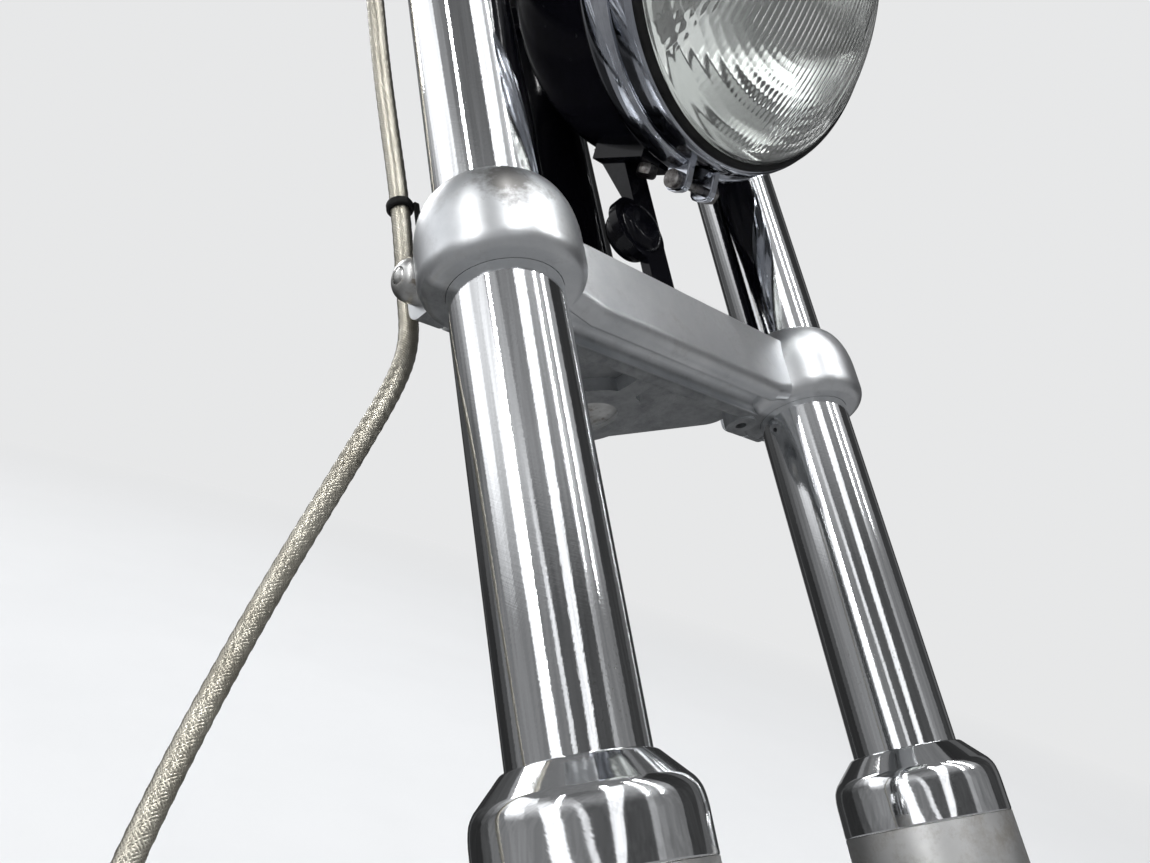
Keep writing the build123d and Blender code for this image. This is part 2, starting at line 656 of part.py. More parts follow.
def brake_hose():
    """Straight runs joined by tangent arcs, swept with the hose's section."""
    radii = hose_radii(HOSE_ROUTE)
    path = FilletPolyline(*HOSE_ROUTE, radius=radii)
    start = Plane(path @ 0, z_dir=path % 0)
    hose = sweep(start * Circle(HOSE_R), path=path)
    section = pi * HOSE_R ** 2
    print("hose length", round(path.length, 1), "volume ratio",
          round(hose.volume / (section * path.length), 4))
    print("hose radii", [round(r) for r in radii])
    return hose


def brake_union():
    """Block under the hose tab, with the line's threaded port on its outer side."""
    x, y = UNION_AT
    across, along = UNION_SIZE
    block = slab(x - across, x + across - 1, y - along, y + along, UNION_LOW, UPPER_YOKE_Z)
    block = fillet(block.edges().filter_by(Axis.Z), 3)
    port_end = x - across + UNION_PORT_DEPTH
    return block - cross_rod(UNION_PORT_R, x - across, port_end, y, UNION_LOW + UNION_PORT_RISE)


def ferrule(low, high, x, y):
    """A crimped sleeve with a hexagon at its upper end."""
    flats, height = FERRULE_HEX
    sleeve = rod(FERRULE_R, low, high - height, x, y)
    sleeve = fillet(sleeve.edges().filter_by(GeomType.CIRCLE).sort_by(Axis.Z)[0], 1)
    return sleeve + hexagon(flats, high - height, high, x, y)


def banjo_fitting():
    """The eye on the caliper's port, its crimped neck and the hollow bolt."""
    y, z = PORT_AT
    flats, height = BANJO_HEAD
    eye = cross_rod(BANJO_R, PORT_FACE - BANJO_T, PORT_FACE, y, z)
    neck = rod(FERRULE_R, z + BANJO_R - 2.5, z + BANJO_RISE, BANJO_X, y)
    turn = Pos(PORT_FACE - BANJO_T - height, y, z) * Rot(0, 90, 0)
    return eye + neck + turn * hexagon(flats, 0, height)


def hose_clip():
    """A ring round the hose on an arm that stands on the right-hand pinch ear."""
    x, y = CLIP_AT
    low, high = CLIP_Z - CLIP_H / 2, CLIP_Z + CLIP_H / 2
    bore = HOSE_R + CLIP_GAP
    x0, x1 = CLIP_ARM
    foot = LOWER_EAR[1]
    arm = slab(x0, x1, CLIP_ARM_Y, CLIP_ARM_Y + CLIP_ARM_T, foot, high)
    arm += slab(x0, x1, CLIP_ARM_Y, CLIP_ARM_Y + CLIP_FOOT, foot, foot + CLIP_ARM_T)
    arm += rod(bore + CLIP_WALL, low, high, x, y)
    return arm - rod(bore, foot, high, x, y)


def steering_neck():
    return ring(NECK_R, NECK_BORE_R, NECK_BOTTOM, NECK_TOP, 0, STEM_OFFSET)


def bearing_cup(low, up):
    """A cup pressed into one end of the neck; up is 1 above the neck, -1 below."""
    flange = ring(CUP_R, CUP_BORE_R, low, low + CUP_H, 0, STEM_OFFSET)
    rims = flange.edges().filter_by(GeomType.CIRCLE).filter_by(lambda e: e.radius > CUP_R - 1)
    flange = fillet(rims, CUP_EDGE_R)
    base = low if up > 0 else low + CUP_H
    x0, x1 = sorted((base, base - up * CUP_SPIGOT))
    return flange + ring(NECK_BORE_R, CUP_BORE_R, x0, x1, 0, STEM_OFFSET)


def lamp_frame():
    """Plane of the ring's front edge, its Z straight back along the beam's axis."""
    back = (0, cos(radians(RAKE)), sin(radians(RAKE)))
    return Plane(LAMP_CENTRE, x_dir=(1, 0, 0), z_dir=back)


def headlamp_ring():
    """Chrome rim: front lip, a flat band, then a fat rounded rib, split at its clamp."""
    out = RING_OUT
    inner = out - 0.5
    profile = turned((LENS_R + RING_LIP, 0), (out, 0), (out + 1.3, 3), (out + 1.6, 9),
                     (out + 1, 11.5), (out + 2, 12.5), (out + 3.6, 15), (out + 4.2, 18.5),
                     (out + 3.6, 22), (out + 1.6, 25), (out - 0.4, RING_DEPTH),
                     (out - 2.2, RING_DEPTH), (out - 2.2, 24), (inner, 20), (inner, LENS_BACK + 2),
                     (LENS_R + RING_LIP, LENS_BACK + 0.1))
    half = SPLIT_W / 2
    clamp = None
    for side in SIDES.values():
        x0, x1 = sorted((side * LUG_GAP / 2, side * (LUG_GAP / 2 + RING_LUG_T)))
        lug = slab(x0, x1, out + 1, out + 3 + RING_LUG_OUT, *RING_LUG_S)
        lug = fillet(lug.edges().filter_by(Axis.X).sort_by(Axis.Y)[-2:], 4)
        clamp = lug if clamp is None else clamp + lug
    turn = Rot(0, 0, CLAMP_TURN)
    body = profile + turn * clamp
    body -= turn * slab(-half, half, LENS_R, out + RING_LUG_OUT, LENS_BACK + 4, RING_DEPTH + 1)
    return body - turn * clamp_rod(CLAMP_SCREW_R + SEAT_GAP, -LUG_GAP, LUG_GAP)


def clamp_rod(radius, x0, x1):
    """A cylinder across the clamp's two lugs, at the middle of their depth."""
    y = RING_OUT + RING_LUG_OUT - 1.5
    return cross_rod(radius, x0, x1, y, sum(RING_LUG_S) / 2)


def ring_screw():
    """The clamp screw through the ring's two lugs, with its nut."""
    seat = LUG_GAP / 2 + RING_LUG_T
    head_r, head_h = CLAMP_HEAD
    flats, nut_h = CLAMP_NUT
    screw = clamp_rod(CLAMP_SCREW_R, -seat - head_h, seat + nut_h + 2)
    screw += clamp_rod(head_r, -seat - head_h, -seat)
    centre = RING_OUT + RING_LUG_OUT - 1.5
    nut = Pos(seat, centre, sum(RING_LUG_S) / 2) * Rot(0, 90, 0) * hexagon(flats, 0, nut_h)
    return Rot(0, 0, CLAMP_TURN) * (screw + nut)


def bucket_outline(grow=0.0):
    """Radius and depth of the bucket's outside, from its mouth to its back."""
    r, deep = BUCKET_R, BUCKET_DEEP
    return [(r + grow, BUCKET_FRONT), (r + grow, deep * 0.44), (r - 1.5 + grow, deep * 0.59),
            (r - 5 + grow, deep * 0.71), (r - 12.5 + grow, deep * 0.82),
            (r - 24.5 + grow, deep * 0.92), (r - 40.5, deep * 0.98 + grow),
            (r - 54.5, deep + grow)]


def headlamp_bucket():
    """Black shell behind the ring, rounded at its back."""
    inner = [(r - BUCKET_WALL, s - (BUCKET_WALL if s > BUCKET_DEEP / 2 else 0))
             for r, s in bucket_outline()]
    shell = turned(*bucket_outline(), (0, BUCKET_DEEP), (0, BUCKET_DEEP - BUCKET_WALL),
                   *inner[::-1])
    return shell - saddle_rod(LAMP_BOLT_R + SEAT_GAP, BUCKET_R - LAMP_BOLT_IN, BUCKET_R + 5)


def headlamp_gasket():
    """Rubber band that shows between the lens and the chrome ring."""
    out = LENS_R + GASKET_OUT
    step = LENS_BACK + 1.8
    return turned((LENS_R - GASKET_W, LENS_BACK + 0.2), (out, step), (out, GASKET_S),
                  (LENS_R - GASKET_W, GASKET_S))


def headlamp_lens():
    """Domed glass with a flat rim, standing proud of the ring."""
    sag = DOME_R - sqrt(DOME_R ** 2 - LENS_R ** 2)
    front = -LENS_PROUD
    centre = front - sag + DOME_R
    inner_dome = DOME_R - LENS_T
    rim = LENS_R - GLASS_RIM

    def on(dome, radius):
        return radius, centre - sqrt(dome ** 2 - radius ** 2)

    edges = Curve() + [
        ThreePointArc(on(DOME_R, 0), on(DOME_R, LENS_R / 2), on(DOME_R, LENS_R)),
        Line(on(DOME_R, LENS_R), (LENS_R, LENS_BACK)),
        Line((LENS_R, LENS_BACK), (rim, LENS_BACK)),
        Line((rim, LENS_BACK), on(inner_dome, rim)),
        ThreePointArc(on(inner_dome, rim), on(inner_dome, rim / 2), on(inner_dome, 0)),
        Line(on(inner_dome, 0), on(DOME_R, 0))]
    return revolve(Plane.XZ * make_face(edges), Axis.Z)


def reflector():
    """A parabolic bowl behind the lens."""
    outer = LENS_R - BOWL_INSET
    lip = GASKET_S + 0.2
    shares = [k / BOWL_ROWS for k in range(BOWL_ROWS + 1)]
    front = [(outer * share, lip + BOWL_DEPTH * (1 - share ** 2)) for share in shares]
    front = [point for point in front if point[0] >= BOWL_HOLE_R]
    back = [(r, z + BOWL_WALL) for r, z in front]
    front[-1] = (outer - BOWL_WALL, lip)
    back[-1] = (outer, lip)
    return turned(*front, *back[::-1])


def bulb():
    """A glass bulb on its flanged holder in the bowl's middle."""
    holder = rod(HOLDER_R, HOLDER_SEAT, HOLDER_BACK) + rod(BULB_R + 1, BULB_FOOT, HOLDER_SEAT)
    glass = rod(BULB_R, BULB_TIP, BULB_FOOT)
    tip = glass.edges().filter_by(GeomType.CIRCLE).sort_by(Axis.Z)[0]
    return holder + fillet(tip, BULB_R - 1)


def headlamp_bracket():
    """Strap from the lower yoke up to a saddle under the headlamp, with an eye on it."""
    y0, y1 = STRAP_Y
    x, z = BOSS_AT
    half = STRAP_W / 2
    strap = slab(-half, half, y0, y1, WEB_TOP, STRAP_TOP)
    foot = slab(-half, half, y0, FOOT_Y, WEB_TOP, WEB_TOP + FOOT_T)
    side = Polyline((y1 - 1, WEDGE_FOOT), (y1 - 1, STRAP_TOP), (y1 + WEDGE_DEPTH, STRAP_TOP + 4),
                    close=True)
    wedge = extrude(Plane.YZ.offset(-half) * make_face(side), STRAP_W)
    eye = facing_rod(BOSS_R + BOSS_WALL, y0, y1, x, z)
    saddle = lamp_frame() * slab(-SADDLE_W / 2, SADDLE_W / 2, BUCKET_R - 8,
                                 BUCKET_R + SADDLE_WALL, *SADDLE_S)
    body = strap + foot + wedge + eye + saddle
    outline = bucket_outline(SEAT_GAP)
    body -= lamp_frame() * turned(*outline, (0, BUCKET_DEEP), (0, BUCKET_FRONT))
    body -= facing_rod(BOSS_R + SEAT_GAP, y0 - 1, y1 + 1, x, z)
    return body - lamp_frame() * saddle_rod(LAMP_BOLT_R + SEAT_GAP, BUCKET_R - LAMP_BOLT_IN,
                                            BUCKET_R + SADDLE_WALL + 1)


def facing_rod(radius, y0, y1, x, z):
    """A cylinder along Y from y0 to y1."""
    return Pos(x, y0, z) * Rot(-90, 0, 0) * Cylinder(radius, y1 - y0, align=CENTRE_MIN)


def saddle_rod(radius, inner, outer):
    """A cylinder square to the lamp's axis, through its saddle."""
    turn = Pos(0, inner, LAMP_BOLT_S) * Rot(-90, 0, 0)
    return turn * Cylinder(radius, outer - inner, align=CENTRE_MIN)


def headlamp_bolt():
    """Holds the bucket down on its saddle, its head below and its end inside."""
    flats, height = LAMP_BOLT_HEAD
    seat = BUCKET_R + SADDLE_WALL
    bolt = saddle_rod(LAMP_BOLT_R, BUCKET_R - LAMP_BOLT_IN, seat)
    return bolt + Pos(0, seat, LAMP_BOLT_S) * Rot(-90, 0, 0) * hexagon(flats, 0, height)


def bracket_boss():
    """A round rubber-mounted boss that fills the strap's eye."""
    x, z = BOSS_AT
    boss = facing_rod(BOSS_R, *BOSS_Y, x, z)
    return fillet(boss.edges().filter_by(GeomType.CIRCLE), BOSS_DOME)


def steering_stem():
    """The steering axis's shaft, fixed in both yokes."""
    return rod(STEM_R, BOSS_UNDER + STEM_RECESS, UPPER_YOKE_TOP + STEM_ABOVE, 0, STEM_OFFSET)


def stem_nut():
    """Acorn nut on top of the stem."""
    low = UPPER_YOKE_TOP
    nut = hexagon(NUT_AF, low, low + NUT_H, 0, STEM_OFFSET)
    dome = rod(NUT_DOME_R, low + NUT_H, low + NUT_H + NUT_DOME_H, 0, STEM_OFFSET)
    nut += fillet(dome.edges().filter_by(GeomType.CIRCLE).sort_by(Axis.Z)[-1], NUT_DOME_H - 2)
    return nut - rod(STEM_R + STEM_FIT, low, low + STEM_ABOVE, 0, STEM_OFFSET)


def collar_piece(outer, low, high):
    """A flat collar round the stem."""
    return ring(outer, STEM_R + STEM_FIT, low, high, 0, STEM_OFFSET)


parts["steering_neck"] = steering_neck()
LOWER_CUP = NECK_BOTTOM - CUP_H
parts["bearing_cup_lower"] = bearing_cup(LOWER_CUP, -1)
parts["bearing_cup_upper"] = bearing_cup(NECK_TOP, 1)
parts["steering_stem"] = steering_stem()
parts["bearing_shield_lower"] = collar_piece(SHIELD_R, WEB_TOP + COLLAR_RISE,
                                             LOWER_CUP - BEARING_GAP)
UPPER_SHIELD = NECK_TOP + CUP_H + BEARING_GAP
parts["bearing_shield_upper"] = collar_piece(SHIELD_R, UPPER_SHIELD, UPPER_SHIELD + SHIELD_T)
parts["stem_adjuster"] = collar_piece(ADJUSTER_R, UPPER_SHIELD + SHIELD_T, UPPER_YOKE_Z)
parts["stem_nut"] = stem_nut()
parts["lower_yoke"] = lower_yoke()
parts["upper_yoke"] = upper_yoke()
for name, side in SIDES.items():
    parts["pinch_bolt_lower_" + name] = pinch_bolt(side, LOWER_EAR)
    parts["pinch_bolt_upper_" + name] = pinch_bolt(side, UPPER_EAR)
    parts["fork_tube_" + name] = fork_tube(side)
    parts["fork_cap_" + name] = fork_cap(side)
    parts["dust_cover_" + name] = dust_cover(side)
    parts["slider_" + name] = slider(side)
parts["brake_caliper"] = brake_caliper()
parts["brake_pads"] = brake_pads()
parts["caliper_bolts"] = caliper_bolts()
parts["banjo_fitting"] = banjo_fitting()
parts["brake_hose"] = brake_hose()
parts["hose_clip"] = hose_clip()
parts["hose_ferrule"] = ferrule(HOSE_TOP[2], UNION_LOW, *UNION_AT)
parts["brake_union"] = brake_union()
lamp = lamp_frame()
parts["headlamp_ring"] = lamp * headlamp_ring()
parts["headlamp_ring_screw"] = lamp * ring_screw()
parts["headlamp_bucket"] = lamp * headlamp_bucket()
parts["headlamp_gasket"] = lamp * headlamp_gasket()
parts["headlamp_lens"] = lamp * headlamp_lens()
parts["headlamp_reflector"] = lamp * reflector()
parts["headlamp_bulb"] = lamp * bulb()
parts["headlamp_bracket"] = headlamp_bracket()
parts["headlamp_bolt"] = lamp * headlamp_bolt()
parts["bracket_boss"] = bracket_boss()

# Lean the whole fork back about the middle of the neck
PLACE = Rot(-RAKE, 0, 0) * Pos(0, -STEM_OFFSET, -NECK_MIDDLE)
os.makedirs("parts", exist_ok=True)
for name, shape in parts.items():
    export_step(PLACE * shape, f"parts/{name}.step")
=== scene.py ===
import json
from math import atan2, cos, degrees, pi, radians, sin, sqrt

import bmesh
import bpy
from mathutils import Matrix, Vector


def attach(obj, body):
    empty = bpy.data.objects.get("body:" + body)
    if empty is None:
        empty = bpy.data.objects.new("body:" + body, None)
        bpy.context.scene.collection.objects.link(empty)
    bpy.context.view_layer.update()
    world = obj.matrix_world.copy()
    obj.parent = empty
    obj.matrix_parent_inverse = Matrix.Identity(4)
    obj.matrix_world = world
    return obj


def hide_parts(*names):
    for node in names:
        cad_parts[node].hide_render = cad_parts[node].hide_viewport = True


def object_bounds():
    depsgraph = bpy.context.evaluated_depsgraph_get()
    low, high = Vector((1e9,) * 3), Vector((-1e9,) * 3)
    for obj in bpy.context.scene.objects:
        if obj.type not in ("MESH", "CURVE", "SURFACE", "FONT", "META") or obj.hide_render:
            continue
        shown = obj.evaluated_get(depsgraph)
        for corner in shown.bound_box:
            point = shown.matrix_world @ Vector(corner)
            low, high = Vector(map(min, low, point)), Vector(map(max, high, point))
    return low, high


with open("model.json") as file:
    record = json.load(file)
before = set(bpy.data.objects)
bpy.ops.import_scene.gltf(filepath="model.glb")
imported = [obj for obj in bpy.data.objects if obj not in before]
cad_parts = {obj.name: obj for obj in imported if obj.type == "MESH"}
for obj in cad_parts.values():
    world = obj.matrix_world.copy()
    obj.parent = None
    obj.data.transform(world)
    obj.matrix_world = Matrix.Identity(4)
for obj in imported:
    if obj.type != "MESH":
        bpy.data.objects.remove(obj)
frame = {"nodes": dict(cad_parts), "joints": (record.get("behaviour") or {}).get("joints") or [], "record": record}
cad_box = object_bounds()

# Places, in metres. The fork's own frame stands upright, with the legs along Z.
STEM_OFFSET = 0.050
NECK_MIDDLE = 0.1255
STEERING_AXIS = Vector(frame["joints"][0]["axis"])
RAKE = atan2(STEERING_AXIS.y, STEERING_AXIS.z)
LEGWISE = (RAKE, 0, 0)      # turns object space so that Z runs along the legs
FORK = Matrix.Rotation(-RAKE, 4, "X") @ Matrix.Translation((0, -STEM_OFFSET, -NECK_MIDDLE))
LAMP_CENTRE = Vector((0, -0.084, 0.138))
LAMP = FORK @ Matrix(((1, 0, 0, LAMP_CENTRE.x),
                      (0, sin(RAKE), cos(RAKE), LAMP_CENTRE.y),
                      (0, -cos(RAKE), sin(RAKE), LAMP_CENTRE.z),
                      (0, 0, 0, 1)))


# Camera, solved from the photograph in the fork's frame
CAMERA_AT = Vector((-0.27527, -0.17767, -0.18030))
CAMERA_RIGHT = Vector((0.70062, -0.69487, -0.16213))
CAMERA_DOWN = Vector((0.21102, 0.41884, -0.88320))
FOCAL_PIXELS = 950.1
PHOTO_WIDTH = 1150
SENSOR = 36.0
NEAREST = 0.01


def make_camera():
    data = bpy.data.cameras.new("camera")
    data.sensor_width = SENSOR
    data.lens = FOCAL_PIXELS / PHOTO_WIDTH * SENSOR
    data.clip_start = NEAREST
    camera = bpy.data.objects.new("camera", data)
    bpy.context.scene.collection.objects.link(camera)
    turn = FORK.to_3x3()
    right = (turn @ CAMERA_RIGHT).normalized()
    up = -(turn @ CAMERA_DOWN)
    back = right.cross(up).normalized()
    up = back.cross(right)
    place = Matrix((right, up, back)).transposed().to_4x4()
    place.translation = FORK @ CAMERA_AT
    camera.matrix_world = place
    bpy.context.scene.camera = camera


make_camera()


class Shader:
    """One material and short calls for its nodes."""

    MIX_A, MIX_B, MIX_COLOR = 6, 7, 2       # colour sockets of a mix node

    def __init__(self, name, color, metallic=0.0, roughness=0.5):
        self.material = bpy.data.materials.new(name)
        self.material.use_nodes = True
        self.nodes = self.material.node_tree.nodes
        self.links = self.material.node_tree.links
        self.bsdf = self.nodes["Principled BSDF"]
        self.bsdf.inputs["Base Color"].default_value = (*color, 1)
        self.bsdf.inputs["Metallic"].default_value = metallic
        self.bsdf.inputs["Roughness"].default_value = roughness
        self.coords = None

    def where(self):
        if self.coords is None:
            self.coords = self.nodes.new("ShaderNodeTexCoord").outputs["Object"]
        return self.coords

    def mapped(self, scale=(1, 1, 1), rotation=(0, 0, 0), location=(0, 0, 0)):
        node = self.nodes.new("ShaderNodeMapping")
        self.links.new(self.where(), node.inputs["Vector"])
        node.inputs["Scale"].default_value = scale
        node.inputs["Rotation"].default_value = rotation
        node.inputs["Location"].default_value = location
        return node.outputs["Vector"]

    def noise(self, scale, detail=3.0, rough=0.5, vector=None):
        node = self.nodes.new("ShaderNodeTexNoise")
        node.inputs["Scale"].default_value = scale
        node.inputs["Detail"].default_value = detail
        node.inputs["Roughness"].default_value = rough
        self.links.new(vector or self.where(), node.inputs["Vector"])
        return node.outputs["Fac"]

    def ramp(self, factor, *stops):
        node = self.nodes.new("ShaderNodeValToRGB")
        elements = node.color_ramp.elements
        for k, (position, color) in enumerate(stops):
            element = elements[k] if k < 2 else elements.new(position)
            element.position = position
            element.color = color if len(color) == 4 else (*color, 1)
        self.links.new(factor, node.inputs["Fac"])
        return node.outputs["Color"]

    def spread(self, factor, low, high, to_low, to_high):
        node = self.nodes.new("ShaderNodeMapRange")
        for name, value in (("From Min", low), ("From Max", high), ("To Min", to_low),
                            ("To Max", to_high)):
            node.inputs[name].default_value = value
        self.links.new(factor, node.inputs["Value"])
        return node.outputs["Result"]

    def mix(self, factor, a, b, blend="MIX"):
        node = self.nodes.new("ShaderNodeMix")
        node.data_type = "RGBA"
        node.blend_type = blend
        for value, socket in ((factor, node.inputs["Factor"]), (a, node.inputs[self.MIX_A]),
                              (b, node.inputs[self.MIX_B])):
            if isinstance(value, bpy.types.NodeSocket):
                self.links.new(value, socket)
            else:
                socket.default_value = value if isinstance(value, float) else (*value, 1)
        return node.outputs[self.MIX_COLOR]

    def math(self, kind, a, b):
        node = self.nodes.new("ShaderNodeMath")
        node.operation = kind
        for value, socket in ((a, node.inputs[0]), (b, node.inputs[1])):
            if isinstance(value, bpy.types.NodeSocket):
                self.links.new(value, socket)
            else:
                socket.default_value = value
        return node.outputs[0]

    def bump(self, height, strength, distance=0.001, under=None):
        node = self.nodes.new("ShaderNodeBump")
        node.inputs["Strength"].default_value = strength
        node.inputs["Distance"].default_value = distance
        self.links.new(height, node.inputs["Height"])
        if under is not None:
            self.links.new(under, node.inputs["Normal"])
        return node.outputs["Normal"]

    def dot(self, vector, axis):
        node = self.nodes.new("ShaderNodeVectorMath")
        node.operation = "DOT_PRODUCT"
        self.links.new(vector, node.inputs[0])
        node.inputs[1].default_value = axis
        return node.outputs["Value"]

    def away(self, vector, centre):
        """Distance from a point."""
        node = self.nodes.new("ShaderNodeVectorMath")
        node.operation = "DISTANCE"
        self.links.new(vector, node.inputs[0])
        node.inputs[1].default_value = centre
        return node.outputs["Value"]

    def facing(self):
        return self.nodes.new("ShaderNodeNewGeometry").outputs["Normal"]

    def forkwise(self):
        """Places in the fork's own frame."""
        return self.mapped((1, 1, 1), LEGWISE, (0, STEM_OFFSET, NECK_MIDDLE))

    def set(self, name, value):
        if isinstance(value, bpy.types.NodeSocket):
            self.links.new(value, self.bsdf.inputs[name])
        else:
            self.bsdf.inputs[name].default_value = value


def tube_chrome():
    """Hard chrome with faint hairlines along it, rings round it and a little dried dirt."""
    plating = (0.88, 0.89, 0.90)
    s = Shader("tube_chrome", plating, 1.0, 0.05)
    along = s.noise(1.0, 4, 0.6, s.mapped((1100, 1100, 5), LEGWISE))
    rings = s.noise(1.0, 2, 0.5, s.mapped((30, 30, 1800), LEGWISE))
    specks = s.noise(900, 2, 0.6)
    patches = s.noise(22, 3, 0.6)
    haze = s.noise(14, 4, 0.6)
    here = s.spread(patches, 0.56, 0.68, 0.0, 1.0)
    dirt = s.math("MULTIPLY", s.spread(specks, 0.62, 0.70, 0.0, 0.8), here)
    s.set("Base Color", s.mix(dirt, plating, (0.50, 0.49, 0.46)))
    rough = s.spread(haze, 0.35, 0.75, 0.03, 0.075)
    s.set("Roughness", s.math("ADD", rough, s.math("MULTIPLY", dirt, 0.3)))
    normal = s.bump(along, 0.06, 0.0003)
    s.set("Normal", s.bump(rings, 0.03, 0.0003, normal))
    return s.material


def bright_chrome():
    """Plated trim: smooth, with soft swirl marks from polishing."""
    s = Shader("bright_chrome", (0.86, 0.87, 0.88), 1.0, 0.04)
    haze = s.noise(18, 5, 0.62)
    swirl = s.noise(3.0, 4, 0.6, s.mapped((60, 60, 420), LEGWISE))
    s.set("Roughness", s.spread(haze, 0.35, 0.75, 0.035, 0.10))
    s.set("Normal", s.bump(swirl, 0.05, 0.0003))
    return s.material


def shaded_lamp_chrome():
    """The lamp's ring: chrome whose base is painted darker and bluish, a painted dark reflection."""
    s = Shader("shaded_lamp_chrome", (0.50, 0.52, 0.57), 1.0, 0.07)
    haze = s.noise(40, 5, 0.62)
    stains = s.noise(150, 4, 0.7)
    # darker bluish base tones: painted reflection of dark surroundings, not the plating's own colour
    s.set("Base Color", s.ramp(haze, (0.35, (0.38, 0.40, 0.45)), (0.65, (0.60, 0.62, 0.67))))
    s.set("Roughness", s.spread(stains, 0.40, 0.75, 0.06, 0.20))
    return s.material


def grimy_steel():
    """Small screws under the lamp, dark with road dirt."""
    s = Shader("grimy_steel", (0.22, 0.21, 0.20), 1.0, 0.45)
    cloud = s.noise(260, 5, 0.7)
    s.set("Base Color", s.ramp(cloud, (0.38, (0.10, 0.09, 0.085)), (0.68, (0.42, 0.41, 0.40))))
    s.set("Roughness", s.spread(cloud, 0.3, 0.7, 0.55, 0.35))
    s.set("Normal", s.bump(cloud, 0.12, 0.0004))
    return s.material


SMUDGE_AT = (-0.103, -0.021, 0.025)     # dried stain on the shoulder of the right eye
SMUDGE_R = 0.013
CAST_AND_SHADE_Y = (0.006, 0.009)           # behind this, the underside of the yoke is as cast, and its colour darker as painted shade
UNDERSIDE = (-0.55, -0.30)              # slope of a face that looks down, from fully to hardly


def cast_yoke():
    """Cast aluminium, polished outside but as cast underneath, where faces that look down are darkened with
    painted shade, with dried stains.
    """
    s = Shader("cast_yoke", (0.74, 0.745, 0.75), 1.0, 0.25)
    place = s.forkwise()
    split = s.nodes.new("ShaderNodeSeparateXYZ")
    s.links.new(place, split.inputs[0])
    down = s.spread(s.dot(s.facing(), tuple(STEERING_AXIS)), *UNDERSIDE, 1.0, 0.0)
    behind = s.spread(split.outputs["Y"], *CAST_AND_SHADE_Y, 0.0, 1.0)
    cast_and_shade = s.math("MULTIPLY", down, behind)
    cloud = s.noise(30, 6, 0.62)
    mottle = s.noise(110, 5, 0.7)
    grain = s.noise(520, 4, 0.6)
    pits = s.noise(900, 3, 0.6)
    polished = s.ramp(cloud, (0.30, (0.65, 0.67, 0.69)), (0.70, (0.88, 0.89, 0.90)))
    tarnish = s.spread(mottle, 0.54, 0.76, 0.0, 0.40)
    polished = s.mix(tarnish, polished, (0.45, 0.44, 0.43))
    edge = s.math("ADD", s.away(place, SMUDGE_AT), s.spread(mottle, 0.3, 0.7, 0.006, -0.006))
    smudge = s.spread(edge, SMUDGE_R * 0.35, SMUDGE_R, 0.85, 0.0)
    polished = s.mix(smudge, polished, (0.16, 0.15, 0.14))
    # as-cast grain and pits are real; the darker grey on faces that look down is painted shade
    raw_and_shaded = s.ramp(mottle, (0.32, (0.30, 0.31, 0.32)), (0.68, (0.50, 0.51, 0.52)))
    s.set("Base Color", s.mix(cast_and_shade, polished, raw_and_shaded))
    rough = s.math("ADD", s.spread(cloud, 0.3, 0.7, 0.42, 0.30),
                   s.math("MULTIPLY", tarnish, 0.25))
    s.set("Roughness", s.math("ADD", rough, s.math("MULTIPLY", cast_and_shade, 0.3)))
    normal = s.bump(grain, 0.05, 0.0003)
    normal = s.bump(cloud, 0.10, 0.002, normal)
    s.set("Normal", s.bump(s.math("MULTIPLY", pits, cast_and_shade), 0.5, 0.0005, normal))
    return s.material


def slider_alloy():
    """Dull, oxidised aluminium with brownish water marks."""
    s = Shader("slider_alloy", (0.55, 0.55, 0.55), 1.0, 0.42)
    cloud = s.noise(34, 6, 0.65)
    marks = s.noise(85, 6, 0.72)
    patches = s.noise(13, 3, 0.6)
    fine = s.noise(600, 3, 0.6)
    base = s.ramp(cloud, (0.32, (0.74, 0.74, 0.73)), (0.68, (0.92, 0.92, 0.91)))
    spots = s.math("MULTIPLY", s.spread(marks, 0.47, 0.66, 0.0, 0.75),
                   s.spread(patches, 0.42, 0.60, 0.55, 1.0))
    s.set("Base Color", s.mix(spots, base, (0.42, 0.39, 0.34)))
    s.set("Roughness", s.math("ADD", s.spread(cloud, 0.3, 0.7, 0.48, 0.36),
                              s.math("MULTIPLY", spots, 0.15)))
    normal = s.bump(marks, 0.10, 0.0004)
    s.set("Normal", s.bump(fine, 0.08, 0.0003, normal))
    return s.material


def black_gloss():
    """Deep black enamel with a light orange peel, dust and small chips."""
    black = (0.004, 0.004, 0.006)
    s = Shader("black_gloss", black, 0.0, 0.10)
    dust = s.noise(420, 3, 0.6)
    peel = s.noise(140, 2, 0.4)
    flecks = s.spread(dust, 0.70, 0.80, 0.0, 0.4)
    s.set("Base Color", s.mix(flecks, black, (0.12, 0.12, 0.12)))
    s.set("Roughness", s.spread(dust, 0.4, 0.7, 0.06, 0.16))
    s.set("Specular IOR Level", 0.16)
    s.set("Normal", s.bump(peel, 0.05, 0.0005))
    return s.material


def zinc_steel():
    """Zinc-plated steel, dulled unevenly, with brown dirt."""
    s = Shader("zinc_steel", (0.58, 0.58, 0.57), 1.0, 0.32)
    cloud = s.noise(120, 5, 0.6)
    grime = s.noise(190, 5, 0.7)
    fine = s.noise(700, 3, 0.5)
    base = s.ramp(cloud, (0.3, (0.46, 0.46, 0.45)), (0.7, (0.72, 0.72, 0.71)))
    spots = s.spread(grime, 0.54, 0.66, 0.0, 0.8)
    s.set("Base Color", s.mix(spots, base, (0.24, 0.20, 0.16)))
    s.set("Roughness", s.math("ADD", s.spread(cloud, 0.3, 0.7, 0.42, 0.28),
                              s.math("MULTIPLY", spots, 0.2)))
    s.set("Normal", s.bump(fine, 0.10, 0.0004))
    return s.material


